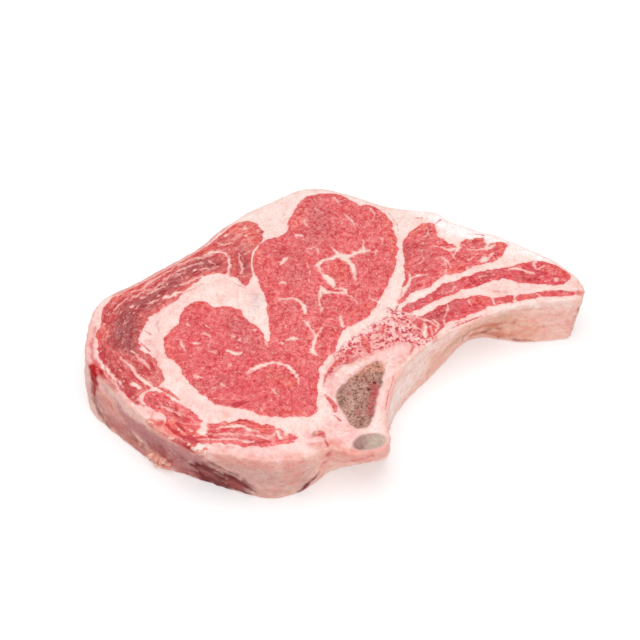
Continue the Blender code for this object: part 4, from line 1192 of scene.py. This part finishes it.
def along(places, guide):
    """How far along a guide line each place lies and how far beside it, for streaks that follow the guide."""
    guide = np.array(guide, float)
    for _ in range(GUIDE_ROUNDINGS):
        here, there = guide[:-1], guide[1:]
        between = np.stack((0.75 * here + 0.25 * there, 0.25 * here + 0.75 * there), 1).reshape(-1, 2)
        guide = np.vstack((guide[:1], between, guide[-1:]))
    nearest = np.full(len(places), np.inf)
    run = np.zeros((len(places), 2))
    travelled = 0.0
    for start, end in zip(guide, guide[1:]):
        length = np.linalg.norm(end - start)
        ahead = (end - start) / length
        share = np.clip((places - start) @ ahead, 0, length)
        gap = np.linalg.norm(places - start - share[:, None] * ahead, axis=1)
        closer = gap < nearest
        nearest[closer] = gap[closer]
        run[closer] = np.column_stack((travelled + share, gap))[closer]
        travelled += length
    return run


def lean_material(name, streak, paleness, contrast=1.0):
    """Moist raw muscle: fibre bundle ends, gaps between bundles darkened by painted shade, pale threads, pale
    specks of fat mixed with painted glints, painted veins and bloody places.
    """
    material, shader = new_material(name, 0.36, 0.12)
    mix, tinted, step, calc, plus, stored, cloud, threads = material_tools(material)
    run = stored("run", "Vector")
    bundles = cloud(2.0, 1.0, 2.0, run, streak, 0.8)
    fine = cloud(1.0, 2.0, 2.0, wavy=0.6)
    broad = cloud(7, 3.0, 3.0, wavy=0.5)
    colour = tinted(
        stored("tint", "Color"),
        (broad, 0.50, 0.36, 0.5 * contrast, (0.90, 0.68, 0.68)),
        (broad, 0.52, 0.68, 0.5 * contrast, (1.06, 1.28, 1.22)),
        (bundles, 0.50, 0.34, contrast, (0.85, 0.40, 0.44)),
        (bundles, 0.50, 0.66, contrast, (1.09, 1.62, 1.52)),
        (fine, 0.48, 0.34, 0.8, (0.86, 0.56, 0.60)),
    )
    curls = threads(cloud(2.6, 9.0, 1.0, run, streak, 1.8), 0.10)
    colour = mix(calc("MULTIPLY", curls, 0.45), colour, (1.10, 1.9, 1.8), "MULTIPLY")
    # Dark lines in the gaps between fibre bundles: painted shade in the gaps, also sunk into the bumps.
    shaded_cracks = threads(cloud(3.0, 5.0, 2.0, run, streak, 1.4), 0.04)
    shaded_cracks = calc("MULTIPLY", shaded_cracks, step(cloud(5, 6.0), 0.46, 0.60, 0.85))
    colour = mix(shaded_cracks, colour, (0.70, 0.30, 0.36), "MULTIPLY")
    webs = threads(cloud(4.2, 7.0, 2.0, run, streak, 1.8), 0.035)
    webs = calc("MULTIPLY", webs, step(cloud(4, 8.0), 0.60 - 0.2 * paleness, 0.72 - 0.2 * paleness, 0.8))
    colour = mix(webs, colour, PINK_FAT)
    # Pale pink specks: specks of fat, mixed with painted highlights that stand in for the glints of the wet
    # surface.
    fat_flecks_and_glints = cloud(1.5, 4.0, 2.0, run, streak, 0.5)
    colour = mix(step(fat_flecks_and_glints, 0.68 - 0.08 * paleness, 0.74 - 0.08 * paleness, 0.75), colour, PINK_FAT)
    rim = step(plus(stored("edge"), fine, 1.2), 2.6, 1.0, 0.3)
    colour = mix(calc("MULTIPLY", rim, step(broad, 0.42, 0.58)), colour, ORANGE_RED)
    skin = step(plus(stored("edge"), bundles, 1.4), 1.05, 0.5, 0.8)
    colour = mix(skin, colour, PINK_FAT)
    vein = plus(plus(stored("vein"), bundles, 1.6, 0.5), fine, 0.8, 0.5)
    colour = mix(step(vein, -0.62, 0.20, 0.85), colour, PINK_FAT)
    colour = mix(step(vein, 0.12, 0.80, 0.88), colour, WHITE_FAT)
    bleeding = plus(stored("blood"), fine, 1.6, 0.5)
    colour = mix(step(bleeding, -0.3, 0.5, 0.85), colour, BLOOD_RED)
    bumps = plus(calc("MULTIPLY", bundles, 0.6), fine, 0.45)
    bumps = calc("SUBTRACT", bumps, calc("MULTIPLY", shaded_cracks, 0.25))
    colour_material(material, shader, colour, bumps, 0.7, 0.6)
    return material


def painted_piece(name, ground, layers):
    """Cuts a muscle or a bone out of the sheet, a hair's breadth clear of the fat, and paints it."""
    number = PIECES.index(name)
    piece, flat, on_face = cut_piece(name, [(number, hidden_wall(number, PIECE_CLEARANCE))])
    edge = gap_to(flat + CENTRING, (number,))[0]
    spread_on(piece, "tint", laid_on(flat, ground, layers))
    spread_on(piece, "edge", edge)
    return piece, flat, on_face, edge


def make_muscle(name, material, ground, layers, veins, blood=(), guide=None, seed=1.0, slot="lean"):
    """Makes one muscle, with its veins of fat, its blood, the run of its fibres and its raised grain."""
    muscle, flat, on_face, edge = painted_piece(name, ground, layers)
    height = np.array([v.co.z for v in muscle.data.vertices])
    veined = strokes(wavy(flat, VEIN_SEED + seed), veins)
    run = flat if guide is None else along(flat, guide)
    spread_on(muscle, "run", np.column_stack((run * MM, height)))
    spread_on(muscle, "vein", veined)
    spread_on(muscle, "blood", strokes(flat, blood))
    grained = np.clip(edge / LEAN_FADE, 0, 1) * np.clip(1 - VEIN_FADE * veined, 0.5, 1)
    spread_on(muscle, "relief", on_face * grained)
    finish_piece(muscle, name, slot, material, seed, *LEAN_GRAIN)


eye_finish = lean_material("eye", (1.0, 1.0, 1.0), 0.45)
make_muscle("rib_eye", eye_finish, LEAN_RED, EYE_LAYERS, EYE_VEINS, EYE_BLOOD, seed=2.0)

CAP_RUN = (
    (-20, 110), (-45, 78), (-62, 66), (-80, 48), (-100, 30), (-118, 16), (-128, 0), (-130, -20), (-124, -38),
    (-112, -52), (-92, -66), (-60, -84),
)
cap_finish = lean_material("cap", (0.36, 1.0, 1.0), 0.5)
make_muscle("cap_lean", cap_finish, CAP_RED, CAP_LAYERS, CAP_VEINS, CAP_BLOOD, CAP_RUN, 3.0, "dark_lean")

FRONT_RUN = ((-120, -34), (-104, -50), (-90, -66), (-72, -79), (-50, -82), (0, -82))
front_finish = lean_material("front", (0.4, 1.0, 1.0), 0.65, 1.1)
make_muscle("front_lean", front_finish, LEAN_RED, FRONT_LAYERS, FRONT_VEINS, FRONT_BLOOD, FRONT_RUN, 4.0)

UPPER_RUN = ((24, -14), (32, 8), (42, 28), (60, 42), (90, 50), (120, 60))
MIDDLE_RUN = ((10, -14), (33, 2), (52, 14), (75, 26), (95, 30), (150, 26))
LOWER_RUN = ((10, -24), (36, -8), (50, 0), (70, 9), (95, 12), (150, 16))
tail_finish = lean_material("tail", (0.6, 1.0, 1.0), 0.5, 1.05)
make_muscle("tail_lean_upper", tail_finish, LEAN_RED, UPPER_LAYERS, UPPER_VEINS, (), UPPER_RUN, 5.0)
make_muscle("tail_lean_middle", tail_finish, TAIL_RED, MIDDLE_LAYERS, MIDDLE_VEINS, (), MIDDLE_RUN, 6.0)
make_muscle("tail_lean_lower", tail_finish, TAIL_RED, LOWER_LAYERS, LOWER_VEINS, (), LOWER_RUN, 7.0)


# The bones
# The saw went through the chine and took the tip off a small knob beside it. Inside, the chine is spongy
# and full of marrow, so it shows dark pores and red dots; the knob is dense, smooth and greyish.

CHINE_BONE = (0.47, 0.235, 0.188)
PALE_BONE = (0.56, 0.34, 0.28)
CRUST_BROWN = (0.28, 0.14, 0.10)
PALE_CRUST = (0.66, 0.29, 0.20)
MARROW_PINK = (0.52, 0.20, 0.18)
KNOB_BONE = (0.52, 0.36, 0.30)
GREEN_BONE = (0.57, 0.46, 0.36)
MAUVE_BONE = (0.36, 0.19, 0.17)
PORE_BROWN = (0.14, 0.05, 0.035)
MARROW_RED = (0.56, 0.03, 0.05)
HOLE_DARK = (0.11, 0.015, 0.02)
BORDER_PINK = (0.84, 0.52, 0.47)
BONE_GRAIN, BONE_LUMPS, BONE_LUMP_HEIGHT = 1.1, 4, 0.4
BONE_FADE = 1.0
MARROW_SOFT = 3

# Where the chine shows marrow and holes, and where the bones have other colours
MARROW_STROKES = (
    ((3, 5, 3.5), (17, -48), (17.5, -53), (16.5, -57)), ((3, 2.4), (16, -60), (15, -67)), (1.5, (9, -66)),
    (1.2, (5, -54)), (1, (12, -45)),
)
HOLE_STROKES = ((2.2, (17.5, -46.8)), ((1.8, 1.2), (14.5, -51), (14.3, -52)), (1, (12, -60)))
CHINE_LAYERS = (
    (PALE_CRUST, 3, 0.95, ((2, 4, 6, 7), (6, -43), (10, -40), (15, -36.5), (21, -36.5))),
    (CRUST_BROWN, 3, 0.6, (2, (21.5, -42), (21, -46)), (2, (0, -52), (1, -60)), (3, (10, -75), (15, -73))),
    (PALE_BONE, 4, 0.6, (4, (8, -50), (6, -62)), (2, (3, -66), (4, -68))),
    (MARROW_PINK, 3, 0.75, ((4, 4, 3), (17, -50), (16, -58), (15, -66))),
)
KNOB_LAYERS = (
    (MAUVE_BONE, 2.5, 0.9, (7, (8, -81), (9, -85), (8, -88)), (0.6, (12, -79.5), (20, -78))),
    (GREEN_BONE, 4, 0.8, (4, (18, -83), (23, -82))),
)


def bone_material(name, pores):
    """Sawn bone: a spongy web with pores, red where marrow shows and brown where the crust begins."""
    material, shader = new_material(name, 0.6, 0.0)
    mix, tinted, step, calc, plus, stored, cloud, threads = material_tools(material)
    web = cloud(1.3, 1.0, 3.0, wavy=0.8, roughness=0.65)
    broad = cloud(5, 2.0, 2.0)
    cells = cloud(1.6, 3.0, 2.0, wavy=1.0)
    colour = tinted(stored("tint", "Color"), (broad, 0.50, 0.36, 0.6, (0.80, 0.74, 0.74)))
    dark_web = calc("MULTIPLY", step(web, 0.50, 0.36), 0.3 + pores)
    colour = mix(dark_web, colour, (0.54, 0.40, 0.36), "MULTIPLY")
    pale_web = calc("MULTIPLY", step(web, 0.52, 0.66), 0.2 + pores)
    colour = mix(pale_web, colour, (1.38, 1.55, 1.5), "MULTIPLY")
    colour = mix(calc("MULTIPLY", step(cells, 0.40, 0.33), pores), colour, PORE_BROWN)
    colour = mix(calc("MULTIPLY", stored("marrow"), step(web, 0.44, 0.54)), colour, MARROW_RED)
    colour = mix(step(stored("hole"), -0.2, 0.5), colour, HOLE_DARK)
    rim = step(plus(stored("edge"), web, 2.4), 2.4, 0.9, 0.85)
    colour = mix(rim, colour, BORDER_PINK)
    bumps = plus(calc("MULTIPLY", web, 0.6), step(cells, 0.33, 0.45), pores)
    colour_material(material, shader, colour, bumps, 0.8, 0.6)
    return material


def make_bone(name, material, ground, layers, slot, grain_height, seed):
    """Makes one bone, with its marrow, its holes and its raised, sawn grain."""
    bone, flat, on_face, edge = painted_piece(name, ground, layers)
    spread_on(bone, "marrow", within(strokes(flat, MARROW_STROKES), MARROW_SOFT))
    spread_on(bone, "hole", strokes(flat, HOLE_STROKES))
    spread_on(bone, "relief", on_face * np.clip(edge / BONE_FADE, 0, 1))
    finish_piece(bone, name, slot, material, seed, BONE_GRAIN, grain_height, BONE_LUMPS, BONE_LUMP_HEIGHT)


make_bone("chine_bone", bone_material("chine", 0.75), CHINE_BONE, CHINE_LAYERS, "marrow_bone", 0.7, 8.0)
make_bone("button_bone", bone_material("knob", 0.12), KNOB_BONE, KNOB_LAYERS, "bone", 0.15, 9.0)


# The floor, the light and the camera
# A plain pale floor, a bright even sky and two large soft lamps, as in a packshot. The camera stands in
# front and looks down by 48 degrees through a long lens.

CAMERA_AIM = Vector((-8.853, -4.796, 33.0)) * MM
CAMERA_TILT = math.radians(48)
CAMERA_DISTANCE = 785.8 * MM
FOCAL_LENGTH, SENSOR_WIDTH = 85.0, 36.0
FLOOR_GREY, FLOOR_GLOW = 0.66, 0.36
SKY_STRENGTH = 0.40

floor_mesh = bpy.data.meshes.new("floor")
floor_mesh.from_pydata([(-3, -3, 0), (3, -3, 0), (3, 3, 0), (-3, 3, 0)], [], [(0, 1, 2, 3)])
floor = new_object("floor", floor_mesh)
floor_finish, shader = new_material("floor", 0.8, 0.0)
shader.inputs["Base Color"].default_value = (FLOOR_GREY, FLOOR_GREY, FLOOR_GREY, 1.0)
shader.inputs["Emission Color"].default_value = (1.0, 1.0, 1.0, 1.0)
shader.inputs["Emission Strength"].default_value = FLOOR_GLOW
floor_mesh.materials.append(floor_finish)
floor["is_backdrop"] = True

world = bpy.data.worlds.new("sky")
world.use_nodes = True
background = world.node_tree.nodes["Background"].inputs
background["Color"].default_value = (1.0, 1.0, 1.0, 1.0)
background["Strength"].default_value = SKY_STRENGTH
bpy.context.scene.world = world


def soft_lamp(name, place, size, power):
    """A round lamp of a width in metres and a power in watts, aimed at the steak."""
    light = bpy.data.lights.new(name, "AREA")
    light.shape = "DISK"
    light.size = size
    light.energy = power
    lamp = new_object(name, light)
    lamp.location = place
    lamp.rotation_euler = (-Vector(place)).to_track_quat("-Z", "Y").to_euler()


soft_lamp("top lamp", (-0.1, -0.1, 1.5), size=1.6, power=17.5)
soft_lamp("front lamp", (0.5, -0.9, 0.8), size=1.0, power=3.0)

lens = bpy.data.cameras.new("camera")
lens.lens = FOCAL_LENGTH
lens.sensor_width = SENSOR_WIDTH
camera = new_object("camera", lens)
ahead = Vector((0, math.cos(CAMERA_TILT), -math.sin(CAMERA_TILT)))
camera.location = CAMERA_AIM - ahead * CAMERA_DISTANCE
camera.rotation_euler = ahead.to_track_quat("-Z", "Y").to_euler()
bpy.context.scene.camera = camera
bpy.context.scene.view_settings.view_transform = "Standard"

sizes = {"cad": [list(corner) for corner in cad_box], "visual": [list(corner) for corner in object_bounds()]}
